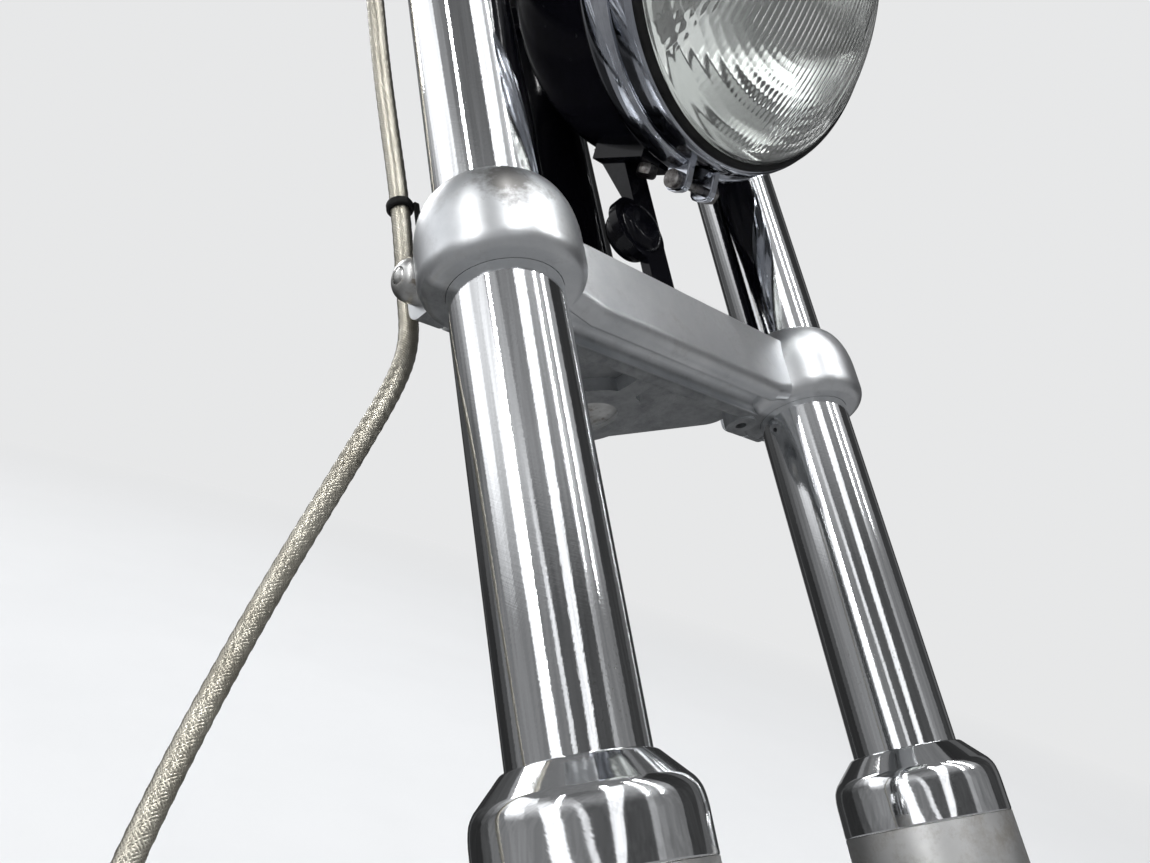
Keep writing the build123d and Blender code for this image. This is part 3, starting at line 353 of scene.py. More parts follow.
def brake_alloy():
    """Satin cast alloy of the caliper, with brake dust."""
    s = Shader("brake_alloy", (0.5, 0.5, 0.5), 1.0, 0.4)
    cloud = s.noise(40, 6, 0.62)
    grain = s.noise(620, 3, 0.6)
    s.set("Base Color", s.ramp(cloud, (0.32, (0.36, 0.36, 0.36)), (0.7, (0.56, 0.56, 0.56))))
    s.set("Roughness", s.spread(cloud, 0.3, 0.7, 0.5, 0.36))
    s.set("Normal", s.bump(grain, 0.22, 0.0005))
    return s.material


def rubber():
    """Black rubber with a grey bloom."""
    s = Shader("rubber", (0.008, 0.008, 0.008), 0.0, 0.6)
    cloud = s.noise(90, 4, 0.6)
    s.set("Specular IOR Level", 0.2)
    s.set("Base Color", s.ramp(cloud, (0.35, (0.005, 0.005, 0.005)), (0.75, (0.018, 0.018, 0.018))))
    s.set("Roughness", s.spread(cloud, 0.3, 0.7, 0.5, 0.7))
    s.set("Normal", s.bump(cloud, 0.1, 0.0005))
    return s.material


def friction_lining():
    """Grey-black brake lining with metal flecks."""
    s = Shader("friction_lining", (0.06, 0.055, 0.05), 0.0, 0.85)
    fleck = s.noise(900, 2, 0.5)
    s.set("Base Color", s.ramp(fleck, (0.45, (0.045, 0.04, 0.038)), (0.8, (0.3, 0.27, 0.23))))
    s.set("Normal", s.bump(fleck, 0.3, 0.0004))
    return s.material


PALE_SHEEN_FROM = (-0.048, -0.018)   # heights on the lamp's glass between which its painted pale sheen at the foot fades


def lamp_glass():
    """Clear lens glass, faintly dusty, with a painted pale sheen over the arcs at its foot."""
    s = Shader("lamp_glass", (0.975, 0.99, 0.975), 0.0, 0.0)
    level = s.math("SUBTRACT", s.dot(s.where(), (0, 0, 1)), (FORK @ LAMP_CENTRE).z)
    # less transmission low on the glass paints a whitish sheen there
    s.set("Transmission Weight", s.spread(level, *PALE_SHEEN_FROM, 0.96, 1.0))
    s.set("IOR", 1.46)
    dust = s.noise(120, 4, 0.6)
    s.set("Roughness", s.spread(dust, 0.45, 0.8, 0.0, 0.06))
    return s.material


def mirror_bowl():
    """Aluminised reflector, a little uneven."""
    s = Shader("mirror_bowl", (0.88, 0.89, 0.88), 1.0, 0.05)
    wave = s.noise(60, 3, 0.5)
    s.set("Roughness", s.spread(wave, 0.3, 0.7, 0.05, 0.14))
    s.set("Normal", s.bump(wave, 0.05, 0.001))
    return s.material


def bulb_glass():
    """Clear glass with a slight unevenness."""
    s = Shader("bulb_glass", (0.95, 0.95, 0.95), 0.0, 0.02)
    s.set("Transmission Weight", 0.85)
    wave = s.noise(90, 2, 0.5)
    s.set("Normal", s.bump(wave, 0.02, 0.0005))
    return s.material


def braid_steel():
    """Stainless braid seen through its yellowed clear cover."""
    s = Shader("braid_steel", (0.52, 0.49, 0.41), 0.9, 0.30)
    cloud = s.noise(70, 4, 0.6)
    s.set("Base Color", s.ramp(cloud, (0.3, (0.42, 0.39, 0.32)), (0.7, (0.66, 0.63, 0.54))))
    s.set("Coat Weight", 0.5)
    s.set("Coat Roughness", 0.2)
    s.set("Normal", s.bump(s.noise(1800, 2, 0.5), 0.12, 0.0002))
    return s.material


def hose_liner():
    """Dark olive liner that shows between the wires."""
    s = Shader("hose_liner", (0.10, 0.09, 0.065), 0.0, 0.5)
    cloud = s.noise(160, 4, 0.6)
    s.set("Base Color", s.ramp(cloud, (0.3, (0.06, 0.055, 0.04)), (0.7, (0.15, 0.14, 0.10))))
    s.set("Roughness", s.spread(cloud, 0.3, 0.7, 0.4, 0.6))
    return s.material


MATERIALS = {
    "chrome": bright_chrome(),
    "tube_chrome": tube_chrome(),
    "cast_yoke": cast_yoke(),
    "slider_alloy": slider_alloy(),
    "black_gloss": black_gloss(),
    "zinc_steel": zinc_steel(),
    "braided_hose": braid_steel(),
    "rubber": rubber(),
    "headlamp_glass": lamp_glass(),
    "reflector": mirror_bowl(),
    "bulb": bulb_glass(),
    "brake_alloy": brake_alloy(),
    "friction": friction_lining(),
}
OWN_MATERIAL = {
    "headlamp_ring_screw": grimy_steel(),
    "headlamp_bolt": grimy_steel(),
}


def dress_nodes():
    """Gives every CAD node the material of its slot, or its own."""
    for row in frame["record"]["subparts"]:
        node = frame["nodes"][row["node"]]
        node.data.materials.clear()
        node.data.materials.append(OWN_MATERIAL.get(row["node"], MATERIALS[row["material_slot"]]))


dress_nodes()


def add_piece(name, mesh, body, slot, *replaced, material=None):
    """Links a mesh as a piece that rides on a body."""
    piece = bpy.data.objects.new(name, mesh)
    bpy.context.scene.collection.objects.link(piece)
    mesh.materials.append(material or MATERIALS[slot])
    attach(piece, body)
    if replaced:
        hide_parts(*replaced)
    return piece


WELD = 1e-7
TURNED_STEPS = 160


def to_mesh(name, grid, place=None, all_smooth=True):
    """The grid as a mesh with its faces turned outwards, moved to its place."""
    bmesh.ops.recalc_face_normals(grid, faces=grid.faces)
    mesh = bpy.data.meshes.new(name)
    grid.to_mesh(mesh)
    grid.free()
    if place is not None:
        mesh.transform(place)
    if all_smooth:
        for polygon in mesh.polygons:
            polygon.use_smooth = True
    return mesh


def lathe(name, outline, place, steps=TURNED_STEPS):
    """A mesh turned about Z from closed (radius, height) points, then placed."""
    grid = bmesh.new()
    rings = []
    for k in range(steps):
        angle = 2 * pi * k / steps
        rings.append([grid.verts.new((r * cos(angle), r * sin(angle), z)) for r, z in outline])
    count = len(outline)
    for k in range(steps):
        near, far = rings[k], rings[(k + 1) % steps]
        for j in range(count):
            i = (j + 1) % count
            grid.faces.new((near[j], far[j], far[i], near[i]))
    bmesh.ops.remove_doubles(grid, verts=grid.verts, dist=WELD)
    return to_mesh(name, grid, place)


# Headlamp glass: a dome with moulded flutes inside
LENS_R = 0.0735
DOME_R = 0.105
LENS_PROUD = 0.004
LENS_T = 0.004
RIM_DEPTH = 0.0024
GLASS_RIM = 0.003
FLUTE_DEEP = 0.0009
FINE_PITCH = 0.0028
WIDE_PITCH = 0.0062
ARC_PITCH = 0.0034
FINE_SHARE = 0.90           # depth of the fine flutes and of the arcs below, against the wide ones
ARC_SHARE = 0.24
RIPPLE_SHARE = 0.16         # faint upright flutes that run on through the arcs
FOOT_FROM = (0.40, 0.58)    # shares of the radius between which the arcs take over
SIDE_FROM = (0.50, 0.62)    # and between which the wide flutes do
BREAK_SHARE = 0.2           # how far the fine flutes wax and wane along their length
BREAK_ALONG = 0.0035
BREAK_ACROSS = 0.0090
FLUTE_EDGE = 0.004          # width in which the flutes run out at the rim


def dome_depth(radius, dome, centre):
    """Depth of a sphere's front at a distance from the beam's axis."""
    return centre - sqrt(dome * dome - radius * radius)


def ease(value, low, high):
    """0 below low, 1 above high, smooth between."""
    share = min(1.0, max(0.0, (value - low) / (high - low)))
    return share * share * (3 - 2 * share)


def flute(value, pitch):
    """One of a row of rounded ridges with sharp valleys between."""
    across = abs((value / pitch) % 1.0 - 0.5) * 2
    return 1 - across * across


def flute_height(x, y):
    """Height of the moulded prisms at a point of the lens, in metres."""
    radius = sqrt(x * x + y * y)
    across, up = abs(x) / LENS_R, -y / LENS_R
    foot = ease(-up, *FOOT_FROM)
    side = ease(across, *SIDE_FROM)
    centre = (1 - side) * (1 - foot)
    broken = 1 - BREAK_SHARE + BREAK_SHARE * sin(y / BREAK_ALONG + x / BREAK_ACROSS)
    height = centre * FINE_SHARE * flute(x, FINE_PITCH) * broken
    height += side * (1 - foot) * flute(x, WIDE_PITCH)
    height += foot * ARC_SHARE * flute(radius, ARC_PITCH)
    height += foot * RIPPLE_SHARE * flute(x, FINE_PITCH)
    return FLUTE_DEEP * height


def lens_mesh():
    """The glass, smooth outside and fluted inside."""
    front_rows, back_rows, steps = 24, 140, 600
    sag = DOME_R - sqrt(DOME_R ** 2 - LENS_R ** 2)
    centre = -LENS_PROUD - sag + DOME_R
    inner_dome = DOME_R - LENS_T
    inner_r = LENS_R - GLASS_RIM
    grid = bmesh.new()

    def ring(radius, depth_of):
        ring_verts = []
        for k in range(steps):
            angle = 2 * pi * k / steps
            x, y = radius * cos(angle), radius * sin(angle)
            ring_verts.append(grid.verts.new((x, y, depth_of(x, y))))
        return ring_verts

    def outer(x, y):
        return dome_depth(sqrt(x * x + y * y), DOME_R, centre)

    def inner(x, y):
        radius = sqrt(x * x + y * y)
        fade = min(1.0, (inner_r - radius) / FLUTE_EDGE)
        return dome_depth(radius, inner_dome, centre) + max(0.0, fade) * flute_height(x, y)

    front_tip = grid.verts.new((0, 0, outer(0, 0)))
    back_tip = grid.verts.new((0, 0, inner(0, 0)))
    fronts = [ring(LENS_R * (k + 1) / front_rows, outer) for k in range(front_rows)]
    rim = [ring(LENS_R, lambda x, y: RIM_DEPTH), ring(inner_r, lambda x, y: RIM_DEPTH)]
    backs = [ring(inner_r * (back_rows - k) / back_rows, inner) for k in range(back_rows)]
    chain = fronts + rim + backs
    for near, far in zip(chain, chain[1:]):
        for k in range(steps):
            j = (k + 1) % steps
            grid.faces.new((near[k], near[j], far[j], far[k]))
    for tip, loop in ((front_tip, fronts[0]), (back_tip, backs[-1])):
        for k in range(steps):
            grid.faces.new((tip, loop[k], loop[(k + 1) % steps]))
    return to_mesh("headlamp_glass", grid, LAMP)


add_piece("headlamp_glass", lens_mesh(), "fork", "headlamp_glass", "headlamp_lens")


# Reflector: a parabola with a hole for the bulb and a turned rim
BOWL_R = 0.068
BOWL_HOLE_R = 0.0227
BOWL_FRONT = 0.0092
BOWL_DEEP = 0.060
BOWL_WALL = 0.0014
BOWL_RIM = 0.002
BOWL_FLARE = 0.0004
BOWL_ROWS = 40


def bowl_mesh():
    front = []
    for k in range(BOWL_ROWS + 1):
        r = BOWL_HOLE_R + (BOWL_R - BOWL_RIM - BOWL_HOLE_R) * k / BOWL_ROWS
        front.append((r, BOWL_FRONT + BOWL_DEEP * (1 - (r / BOWL_R) ** 2)))
    back = [(min(r + BOWL_FLARE, BOWL_R), z + BOWL_WALL) for r, z in front]
    outline = front + [(BOWL_R, BOWL_FRONT)] + back[::-1]
    return lathe("headlamp_bowl", outline, LAMP)


add_piece("headlamp_bowl", bowl_mesh(), "fork", "reflector", "headlamp_reflector")


# Lamp ring and bucket: (radius, depth) in the lamp's frame
RING_OUTLINE = (
    (0.0745, 0.0), (0.0762, 0.0), (0.0768, 0.0001), (0.0773, 0.0006), (0.0779, 0.0018),
    (0.0783, 0.0032), (0.0785, 0.0060), (0.0786, 0.0088), (0.0785, 0.0100), (0.0781, 0.0109),
    (0.0780, 0.0116), (0.0784, 0.0121), (0.0791, 0.0126), (0.0799, 0.0136), (0.0806, 0.0150),
    (0.08105, 0.0166), (0.0812, 0.0185), (0.08105, 0.0204), (0.0806, 0.0220), (0.0798, 0.0236),
    (0.0787, 0.0250), (0.0776, 0.0263), (0.0766, 0.0273), (0.0758, 0.0275), (0.0750, 0.0275),
    (0.0748, 0.0240), (0.0765, 0.0200), (0.0765, 0.0044), (0.0745, 0.0025),
)
LIP_OUTLINE = RING_OUTLINE[:6] + ((0.0784, 0.0044), (0.0765, 0.0044), (0.0745, 0.0025))
RING_STEPS, LIP_STEPS = 240, 6
CLAMP_TILT = 6.5                        # degrees by which the clamp stands beside straight below
CLAMP_AT = radians(90 - CLAMP_TILT)
SPLIT_HALF = radians(3.3)
LUG_X = (0.006, 0.010)
LUG_EDGE = 0.0006
LUG_OUTLINE = ((0.0770, 0.010), (0.0860, 0.010), (0.0880, 0.0105), (0.0895, 0.012), (0.0900, 0.014),
               (0.0900, 0.018), (0.0895, 0.020), (0.0880, 0.0215), (0.0860, 0.022), (0.0770, 0.022))
BUCKET_OUTLINE = ((0.0745, 0.0245), (0.0745, 0.0449), (0.0730, 0.0602), (0.0695, 0.0724),
                  (0.0620, 0.0836), (0.0500, 0.0938), (0.0340, 0.1000), (0.0200, 0.1020))
BUCKET_WALL = 0.0018
BUCKET_BACK = (0.05, 0.10)      # depths between which the wall turns from the side to the back


def sector(grid, outline, start, end, steps):
    """Part of a turned form between two angles, with its two ends closed."""
    rows = []
    for k in range(steps + 1):
        angle = start + (end - start) * k / steps
        rows.append([grid.verts.new((r * cos(angle), r * sin(angle), z)) for r, z in outline])
    count = len(outline)
    for near, far in zip(rows, rows[1:]):
        for j in range(count):
            i = (j + 1) % count
            grid.faces.new((near[j], far[j], far[i], near[i])).smooth = True
    for row in (rows[0], rows[-1]):
        for edge in grid.faces.new(row).edges:
            edge.smooth = False


def add_lug(grid, side):
    """One ear of the ring's clamp, with rounded corners."""
    near, far = LUG_X
    turn = Matrix.Rotation(CLAMP_AT - pi / 2, 4, "Z")
    rings = [[grid.verts.new(turn @ Vector((side * x, y, z))) for y, z in LUG_OUTLINE]
             for x in (near, far)]
    faces = [grid.faces.new(rings[0]), grid.faces.new(rings[1][::-1])]
    count = len(LUG_OUTLINE)
    for j in range(count):
        i = (j + 1) % count
        faces.append(grid.faces.new((rings[0][j], rings[1][j], rings[1][i], rings[0][i])))
    rim = [edge for face in faces[:2] for edge in face.edges]
    bmesh.ops.bevel(grid, geom=rim, offset=LUG_EDGE, segments=3, affect="EDGES")


def ring_mesh():
    """The chromed ring, split at its clamp behind an unbroken front lip."""
    grid = bmesh.new()
    start, end = CLAMP_AT + SPLIT_HALF, CLAMP_AT + 2 * pi - SPLIT_HALF
    sector(grid, RING_OUTLINE, start, end, RING_STEPS)
    sector(grid, LIP_OUTLINE, CLAMP_AT - SPLIT_HALF, CLAMP_AT + SPLIT_HALF, LIP_STEPS)
    for side in (-1, 1):
        add_lug(grid, side)
    return to_mesh("lamp_ring", grid, LAMP, all_smooth=False)


def rounded(points, share=4):
    """More points, on a smooth line through the given ones."""
    line = []
    last = len(points) - 1
    for k in range(last):
        a, b, c, d = (Vector(points[min(max(k + j, 0), last)]) for j in (-1, 0, 1, 2))
        for j in range(share):
            t = j / share
            line.append(tuple((2 * b + (c - a) * t + (2 * a - 5 * b + 4 * c - d) * t * t
                               + (3 * b - a - 3 * c + d) * t ** 3) / 2))
    return line + [points[last]]


def bucket_mesh():
    """The lamp's bucket, closed at the back."""
    outside = rounded(BUCKET_OUTLINE)
    inside = [(r - BUCKET_WALL, z - BUCKET_WALL * ease(z, *BUCKET_BACK)) for r, z in outside]
    deep = outside[-1][1]
    outline = outside + [(0, deep), (0, deep - BUCKET_WALL)] + inside[::-1]
    return lathe("lamp_bucket", outline, LAMP)


add_piece("lamp_ring", ring_mesh(), "fork", "chrome", "headlamp_ring", material=shaded_lamp_chrome())
add_piece("lamp_bucket", bucket_mesh(), "fork", "black_gloss", "headlamp_bucket")


# Rubber lip of the lamp's gasket, over the front of the chrome ring
GASKET_LIP = ((LENS_R + 0.0001, 0.0002), (LENS_R + 0.0001, -0.0024), (0.0745, -0.0030),
              (0.0757, -0.0026), (0.0764, -0.0014), (0.0766, 0.0), (0.0745, 0.0002))
add_piece("gasket_lip", lathe("gasket_lip", GASKET_LIP, LAMP), "fork", "rubber")


# Dust covers: a turned chrome cap with a rolled top edge, a full cone and a round shoulder
HALF_SPACING = 0.090
COVER_OUTLINE = (
    (0.0199, -0.1508), (0.0199, -0.1495), (0.0201, -0.1489), (0.0205, -0.1486), (0.0209, -0.1487),
    (0.0213, -0.1490), (0.0215, -0.1492), (0.0234, -0.1512), (0.0258, -0.1537), (0.0280, -0.1560),
    (0.0283, -0.1563), (0.0288, -0.1570), (0.0294, -0.1580), (0.0299, -0.1592), (0.0302, -0.1606),
    (0.0304, -0.1622), (0.0305, -0.1640), (0.0305, -0.1700), (0.0305, -0.1746), (0.0304, -0.1751),
    (0.0302, -0.1753), (0.0274, -0.1753), (0.0274, -0.1560),
)


def make_covers():
    for side, name in ((-1, "right"), (1, "left")):
        place = FORK @ Matrix.Translation((side * HALF_SPACING, 0, 0))
        title = "dust_cap_" + name
        add_piece(title, lathe(title, COVER_OUTLINE, place), "fork", "chrome", "dust_cover_" + name)


make_covers()


# Plugs in the keyways of the two lower pinch bolts
PINCH_AT = (0.1115, 0.027, 0.015)       # outer face of the left bolt's head
PLUG_OUTLINE = ((0, 0.0005), (0.0014, 0.0004), (0.0026, 0.0), (0.0031, -0.0005), (0.0031, -0.0030),
                (0, -0.0030))
PLUG_STEPS = 48


def make_plugs():
    for side, name in ((-1, "right"), (1, "left")):
        at = (side * PINCH_AT[0], *PINCH_AT[1:])
        place = FORK @ Matrix.Translation(at) @ Matrix.Rotation(side * pi / 2, 4, "Y")
        title = "pinch_plug_" + name
        add_piece(title, lathe(title, PLUG_OUTLINE, place, PLUG_STEPS), "fork", "zinc_steel")


make_plugs()


# Brake hose: the route's points, in the fork's frame, as in the CAD source
HOSE_R = 0.0035
CORE_R = HOSE_R - 0.0004
CORE_STEP = 0.003
LINE_STEPS = 24
CLIP = (-0.1015, 0.0345)
BANJO_X = -0.1095
PORT_Y = 0.096
HOSE_ROUTE = [
    (-0.106, 0.031, 0.183),
    (-0.106, 0.031, 0.157),
    (-0.1055, 0.032, 0.124),
    (-0.1035, 0.0334, 0.092),
    (*CLIP, 0.066),
    (*CLIP, 0.042),
    (-0.0985, 0.0395, 0.020),
    (-0.099, 0.0395, 0.0),
    (-0.108, 0.037, -0.020),
    (-0.124, 0.040, -0.048),
    (-0.1445, 0.058, -0.090),
    (-0.170, 0.0625, -0.138),
    (-0.191, 0.0625, -0.184),
    (-0.198, 0.064, -0.230),
    (-0.188, 0.070, -0.276),
    (-0.166, 0.079, -0.318),
    (-0.141, 0.087, -0.344),
    (-0.1205, 0.0925, -0.364),
    (BANJO_X, PORT_Y, -0.386),
    (BANJO_X, PORT_Y, -0.406),
]


def hose_line():
    """Points along the smooth line of the route."""
    curve = bpy.data.curves.new("hose_line", "CURVE")
    curve.dimensions = "3D"
    curve.resolution_u = LINE_STEPS
    spline = curve.splines.new("NURBS")
    spline.points.add(len(HOSE_ROUTE) - 1)
    for point, at in zip(spline.points, HOSE_ROUTE):
        point.co = (*(FORK @ Vector(at)), 1)
    spline.order_u = 3
    spline.use_endpoint_u = True
    holder = bpy.data.objects.new("hose_line", curve)
    mesh = bpy.data.meshes.new_from_object(holder)
    points = [v.co.copy() for v in mesh.vertices]
    bpy.data.meshes.remove(mesh)
    bpy.data.objects.remove(holder)
    bpy.data.curves.remove(curve)
    return points


def even_frames(points, step):
    """Evenly spaced (point, side, side) along a line, with no twist."""
    even = [points[0]]
    left = step
    for a, b in zip(points, points[1:]):
        run = (b - a).length
        while run >= left:
            a = a + (b - a) * (left / run)
            even.append(a)
            run = (b - a).length
            left = step
        left -= run
    even.append(points[-1])
    frames = []
    side = None
    for k, here in enumerate(even):
        ahead = even[min(k + 1, len(even) - 1)] - even[max(k - 1, 0)]
        ahead.normalize()
        if side is None:
            side = ahead.orthogonal().normalized()
        side = (side - ahead * side.dot(ahead)).normalized()
        frames.append((here, side, ahead.cross(side)))
    return frames


STRANDS = 16                # carriers each way round
BRAID_PITCH = 0.019         # length of one turn
BRAID_STEP = 0.0006
WIRE_W = 0.00050            # half width of a carrier
WIRE_CROWN = 0.00016
WIRE_BASE = 0.00015         # lowest place of a wire above the core
WIRE_RISE = 0.00010
BRAID_R = HOSE_R + 0.0001


def braid_mesh(line):
    """Crossing ribbons that pass over and under each other round the hose."""
    frames = even_frames(line, BRAID_STEP)
    grid = bmesh.new()
    across = WIRE_W / CORE_R
    for hand in (1, -1):
        for strand in range(STRANDS):
            before = None
            for k, (here, side, other) in enumerate(frames):
                run = k * BRAID_STEP / BRAID_PITCH
                turn = hand * run + strand / STRANDS
                weave = hand * sin(2 * pi * (run * STRANDS / 2 + strand * hand / 4))
                lift = CORE_R + WIRE_BASE + WIRE_RISE * (1 + weave)
                row = []
                for shift, rise in ((-1, 0), (0, WIRE_CROWN), (1, 0)):
                    angle = 2 * pi * turn + shift * across
                    radius = min(lift + rise, BRAID_R)
                    row.append(grid.verts.new(here + side * (radius * cos(angle))
                                              + other * (radius * sin(angle))))
                if before:
                    for j in range(2):
                        grid.faces.new((before[j], before[j + 1], row[j + 1], row[j]))
                before = row
    return to_mesh("hose_braid", grid)


def tube_mesh(name, line, radius, step, sides=20):
    """A closed tube along a line."""
    frames = even_frames(line, step)
    grid = bmesh.new()
    before = None
    for here, side, other in frames:
        row = []
        for k in range(sides):
            angle = 2 * pi * k / sides
            row.append(grid.verts.new(here + side * (radius * cos(angle))
                                      + other * (radius * sin(angle))))
        if before:
            for k in range(sides):
                j = (k + 1) % sides
                grid.faces.new((before[k], before[j], row[j], row[k]))
        else:
            grid.faces.new(row[::-1])
        before = row
    grid.faces.new(before)
    return to_mesh(name, grid)


def make_hose():
    line = hose_line()
    add_piece("hose_core", tube_mesh("hose_core", line, CORE_R, CORE_STEP), "fork", "braided_hose",
              "brake_hose", material=hose_liner())
    add_piece("hose_braid", braid_mesh(line), "fork", "braided_hose")


make_hose()


# Tie that holds the hose to the pinch ear
TIE_LEVEL = 0.054
TIE_OUTLINE = ((0.0036, -0.0016), (0.0047, -0.0016), (0.0050, -0.0010), (0.0050, 0.0010),
               (0.0047, 0.0016), (0.0036, 0.0016))
TIE_ARM = ((-0.0986, 0.0294, 0.0274), (-0.0962, 0.0308, 0.0550))      # two corners of the arm
TIE_STEPS = 40
TIE_EDGE = 0.0004


def make_tie():
    """A thin black band round the hose on a slim arm."""
    mesh = lathe("hose_tie", TIE_OUTLINE, Matrix.Translation((*CLIP, TIE_LEVEL)), TIE_STEPS)
    grid = bmesh.new()
    grid.from_mesh(mesh)
    low, high = Vector(TIE_ARM[0]), Vector(TIE_ARM[1])
    place = Matrix.Translation((low + high) / 2) @ Matrix.Diagonal((*(high - low), 1))
    arm = bmesh.ops.create_cube(grid, size=1, matrix=place)["verts"]
    edges = list({edge for vert in arm for edge in vert.link_edges})
    bmesh.ops.bevel(grid, geom=edges, offset=TIE_EDGE, segments=2, affect="EDGES")
    grid.to_mesh(mesh)
    grid.free()
    mesh.transform(FORK)
    add_piece("hose_tie", mesh, "fork", "rubber", "hose_clip")


make_tie()


# Floor and backdrop
FLOOR_DROP = 0.044          # at full lock the fork reaches 42 mm lower than at rest
FLOOR_FAR = 16.0
FLOOR_FADE = (0.9, 3.0)     # distances where the floor starts and ends its blend into the backdrop
FLOOR_DIM, FLOOR_PALE = (0.77, 0.775, 0.78), (0.82, 0.825, 0.83)
BACKDROP = (0.80, 0.805, 0.81)
WORLD_LIGHT = (0.95, 0.97, 1.0)
WORLD_STRENGTH = 0.60


def around(azimuth, height, distance):
    """A place at an angle round the legs, a height along them and a distance from them."""
    angle = radians(azimuth)
    return FORK @ Vector((distance * cos(angle), distance * sin(angle), height))


def camera_share(nodes, links):
    """1 for what the camera sees, directly or through glass."""
    path = nodes.new("ShaderNodeLightPath")
    either = nodes.new("ShaderNodeMath")
    either.operation = "MAXIMUM"
    links.new(path.outputs["Is Camera Ray"], either.inputs[0])
    links.new(path.outputs["Is Transmission Ray"], either.inputs[1])
    return either.outputs[0]


def make_floor():
    """Pale matt floor that runs into the backdrop with no edge; bright metal doesn't mirror it."""
    low = cad_box[0].z - FLOOR_DROP
    far = FLOOR_FAR
    mesh = bpy.data.meshes.new("floor")
    mesh.from_pydata([(-far, -far, low), (far, -far, low), (far, far, low), (-far, far, low)],
                     [], [(0, 1, 2, 3)])
    s = Shader("floor", BACKDROP, 0.0, 0.9)
    s.set("Specular IOR Level", 0.0)
    cloud = s.noise(1.3, 5, 0.6)
    s.set("Base Color", s.ramp(cloud, (0.3, FLOOR_DIM), (0.7, FLOOR_PALE)))
    glow = s.nodes.new("ShaderNodeEmission")
    glow.inputs["Color"].default_value = (*BACKDROP, 1)
    fade = s.spread(s.away(s.where(), (0, 0, low)), *FLOOR_FADE, 0.0, 1.0)
    blend = s.nodes.new("ShaderNodeMixShader")
    s.links.new(s.math("MULTIPLY", fade, camera_share(s.nodes, s.links)), blend.inputs[0])
    s.links.new(s.bsdf.outputs[0], blend.inputs[1])
    s.links.new(glow.outputs[0], blend.inputs[2])
    s.links.new(blend.outputs[0], s.nodes["Material Output"].inputs["Surface"])
    mesh.materials.append(s.material)
    floor = bpy.data.objects.new("floor", mesh)
    bpy.context.scene.collection.objects.link(floor)
    floor.visible_glossy = False
    floor.visible_transmission = False


def make_world():
    """Pale to the camera and through glass, softer as a light."""
    world = bpy.data.worlds.new("world")
    bpy.context.scene.world = world
    world.use_nodes = True
    nodes, links = world.node_tree.nodes, world.node_tree.links
    background = nodes["Background"]
    seen = nodes.new("ShaderNodeBackground")
    seen.inputs["Color"].default_value = (*BACKDROP, 1)
    seen.inputs["Strength"].default_value = 1.0
    background.inputs["Color"].default_value = (*WORLD_LIGHT, 1)
    background.inputs["Strength"].default_value = WORLD_STRENGTH
    mix = nodes.new("ShaderNodeMixShader")
    links.new(camera_share(nodes, links), mix.inputs[0])
    links.new(background.outputs[0], mix.inputs[1])
    links.new(seen.outputs[0], mix.inputs[2])
    links.new(mix.outputs[0], nodes["World Output"].inputs["Surface"])


# Lights: azimuth round the legs in degrees, middle height, distance, width, length, power
LIGHTS = {
    "key": (250, 2.1, 2.6, 0.16, 2.6, 26),
    "side": (195, 1.5, 2.6, 0.14, 2.4, 20),
    "fill": (301, 1.9, 2.6, 0.10, 2.4, 14),
    "front": (284, 2.0, 2.7, 0.07, 2.6, 12),
    "window_left": (94, 2.5, 1.7, 0.40, 0.80, 12),
    "window_right": (5, 2.7, 1.3, 0.40, 0.80, 12),
}


def make_lights():
    """Upright strips that face the legs."""
    for name, (azimuth, height, distance, width, length, power) in LIGHTS.items():
        data = bpy.data.lights.new(name, "AREA")
        data.shape = "RECTANGLE"
        data.size, data.size_y = width, length
        data.energy = power
        light = bpy.data.objects.new(name, data)
        bpy.context.scene.collection.objects.link(light)
        at = around(azimuth, height, distance)
        outward = (at - around(0, 0, 0)).normalized()
        across = STEERING_AXIS.cross(outward).normalized()
        place = Matrix((across, outward.cross(across), outward)).transposed().to_4x4()
        place.translation = at
        light.matrix_world = place


PANEL_RANGE = 3.4
PANEL_LOW, PANEL_HIGH = -1.0, 4.6
LEVELS = (0.8, 1.5, 3.4)        # heights at which the panels' brightness is given
ROOF_TOP = 6.8
ROOF_SHADE = 0.20
GROUND_SHADE = 0.30
PANEL_GLOW = (0.97, 0.98, 1.0)
# Panels round the legs, which bright metal mirrors as lighter and darker streaks: azimuth of the
# far edge at the foot and at the head, brightness at the three levels
PANELS = (
    (34, 34, 0.04, 0.04, 0.05),
    (44, 42, 0.30, 0.35, 0.40),
    (72, 66, 0.04, 0.03, 0.04),
    (77, 72, 0.08, 0.05, 0.30),
    (113, 81, 0.03, 0.07, 0.12),
    (128, 92, 0.08, 0.12, 0.36),
    (146, 98, 0.18, 0.12, 0.60),
    (156, 110, 0.22, 0.20, 1.20),
    (170, 150, 0.26, 1.40, 1.40),
    (190, 160, 0.22, 0.70, 1.20),
    (207, 176, 1.40, 1.40, 0.30),
    (224, 191, 0.22, 0.60, 0.20),
    (230, 199, 0.95, 0.60, 0.16),
    (241, 246, 0.10, 0.30, 0.15),
    (248, 275, 1.20, 1.50, 1.40),
    (281, 278, 0.08, 0.30, 0.55),
    (289, 284, 0.40, 1.30, 0.80),
    (297, 290, 0.25, 0.60, 0.50),
    (304, 292, 0.20, 0.40, 0.25),
    (312, 302, 0.22, 1.20, 0.55),
    (323, 313, 0.20, 0.42, 0.20),
    (345, 352, 0.05, 0.04, 0.03),
    (360, 360, 0.12, 0.12, 0.10),
)
# What only the lamp's bowl shows, through the glass: azimuth, height, distance, width, length,
# brightness
LAMP_PANELS = {
    "window": (245, 2.6, 3.2, 4.4, 3.7, 1.9),
    "pale_side": (247, -1.0, 3.1, 1.7, 3.4, 0.75),
    "dim_side": (209, -1.1, 3.1, 2.5, 3.2, 0.10),
}


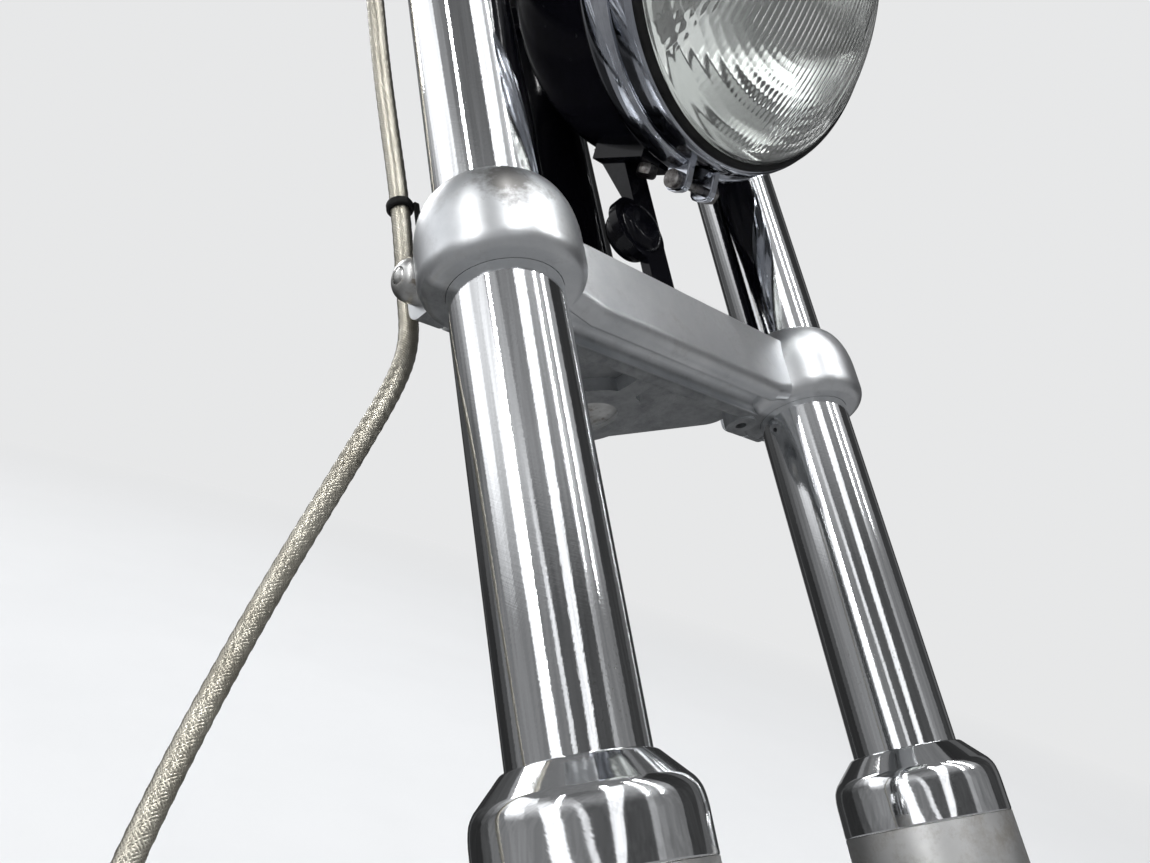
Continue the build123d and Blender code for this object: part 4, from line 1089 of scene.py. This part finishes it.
def panel_material(name, shades):
    """A soft glow with fine streaks, whose brightness changes from foot to head."""
    s = Shader(name, (0, 0, 0), 0.0, 1.0)
    glow = s.nodes.new("ShaderNodeEmission")
    level = s.dot(s.forkwise(), (0, 0, 1))
    low, middle, high = LEVELS
    shade = s.spread(level, low, middle, shades[0], shades[1])
    shade = s.math("ADD", shade, s.spread(level, middle, high, 0.0, shades[2] - shades[1]))
    streaks = s.noise(1.0, 5, 0.65, s.mapped((5.0, 5.0, 0.12), LEGWISE))
    shade = s.math("MULTIPLY", shade, s.spread(streaks, 0.36, 0.64, 0.75, 1.15))
    glow.inputs["Color"].default_value = (*PANEL_GLOW, 1)
    s.links.new(shade, glow.inputs["Strength"])
    s.links.new(glow.outputs[0], s.nodes["Material Output"].inputs["Surface"])
    return s.material


def add_panel(name, corners, shades, hidden=("camera", "diffuse", "shadow", "transmission")):
    """A glowing sheet that the named kinds of ray don't see."""
    mesh = bpy.data.meshes.new(name)
    mesh.from_pydata([tuple(corner) for corner in corners], [], [tuple(range(len(corners)))])
    mesh.materials.append(panel_material(name, shades))
    panel = bpy.data.objects.new(name, mesh)
    bpy.context.scene.collection.objects.link(panel)
    for kind in hidden:
        setattr(panel, "visible_" + kind, False)


def make_panels():
    """The ring of panels, with a roof above and a ground below."""
    foot, head = 0.0, 0.0
    for k, (next_foot, next_head, *shades) in enumerate(PANELS):
        low = [around(azimuth, PANEL_LOW, PANEL_RANGE) for azimuth in (foot, next_foot)]
        high = [around(azimuth, PANEL_HIGH, PANEL_RANGE) for azimuth in (head, next_head)]
        add_panel("panel_%d" % k, low + high[::-1], shades)
        add_panel("roof_%d" % k, high + [around(0, ROOF_TOP, 0)], (ROOF_SHADE,) * 3)
        add_panel("ground_%d" % k, low + [around(0, PANEL_LOW, 0)], (GROUND_SHADE,) * 3)
        foot, head = next_foot, next_head


def make_lamp_panels():
    """Sheets that only rays through the glass see."""
    for name, (azimuth, height, distance, width, length, shade) in LAMP_PANELS.items():
        swing = degrees(width / 2 / distance)
        corners = [around(azimuth + a * swing, height + b * length / 2, distance)
                   for a, b in ((-1, -1), (1, -1), (1, 1), (-1, 1))]
        add_panel(name, corners, (shade,) * 3, ("camera", "diffuse", "shadow", "glossy"))


make_floor()
make_world()
make_lights()
make_panels()
make_lamp_panels()
bpy.context.scene.view_settings.view_transform = "Standard"
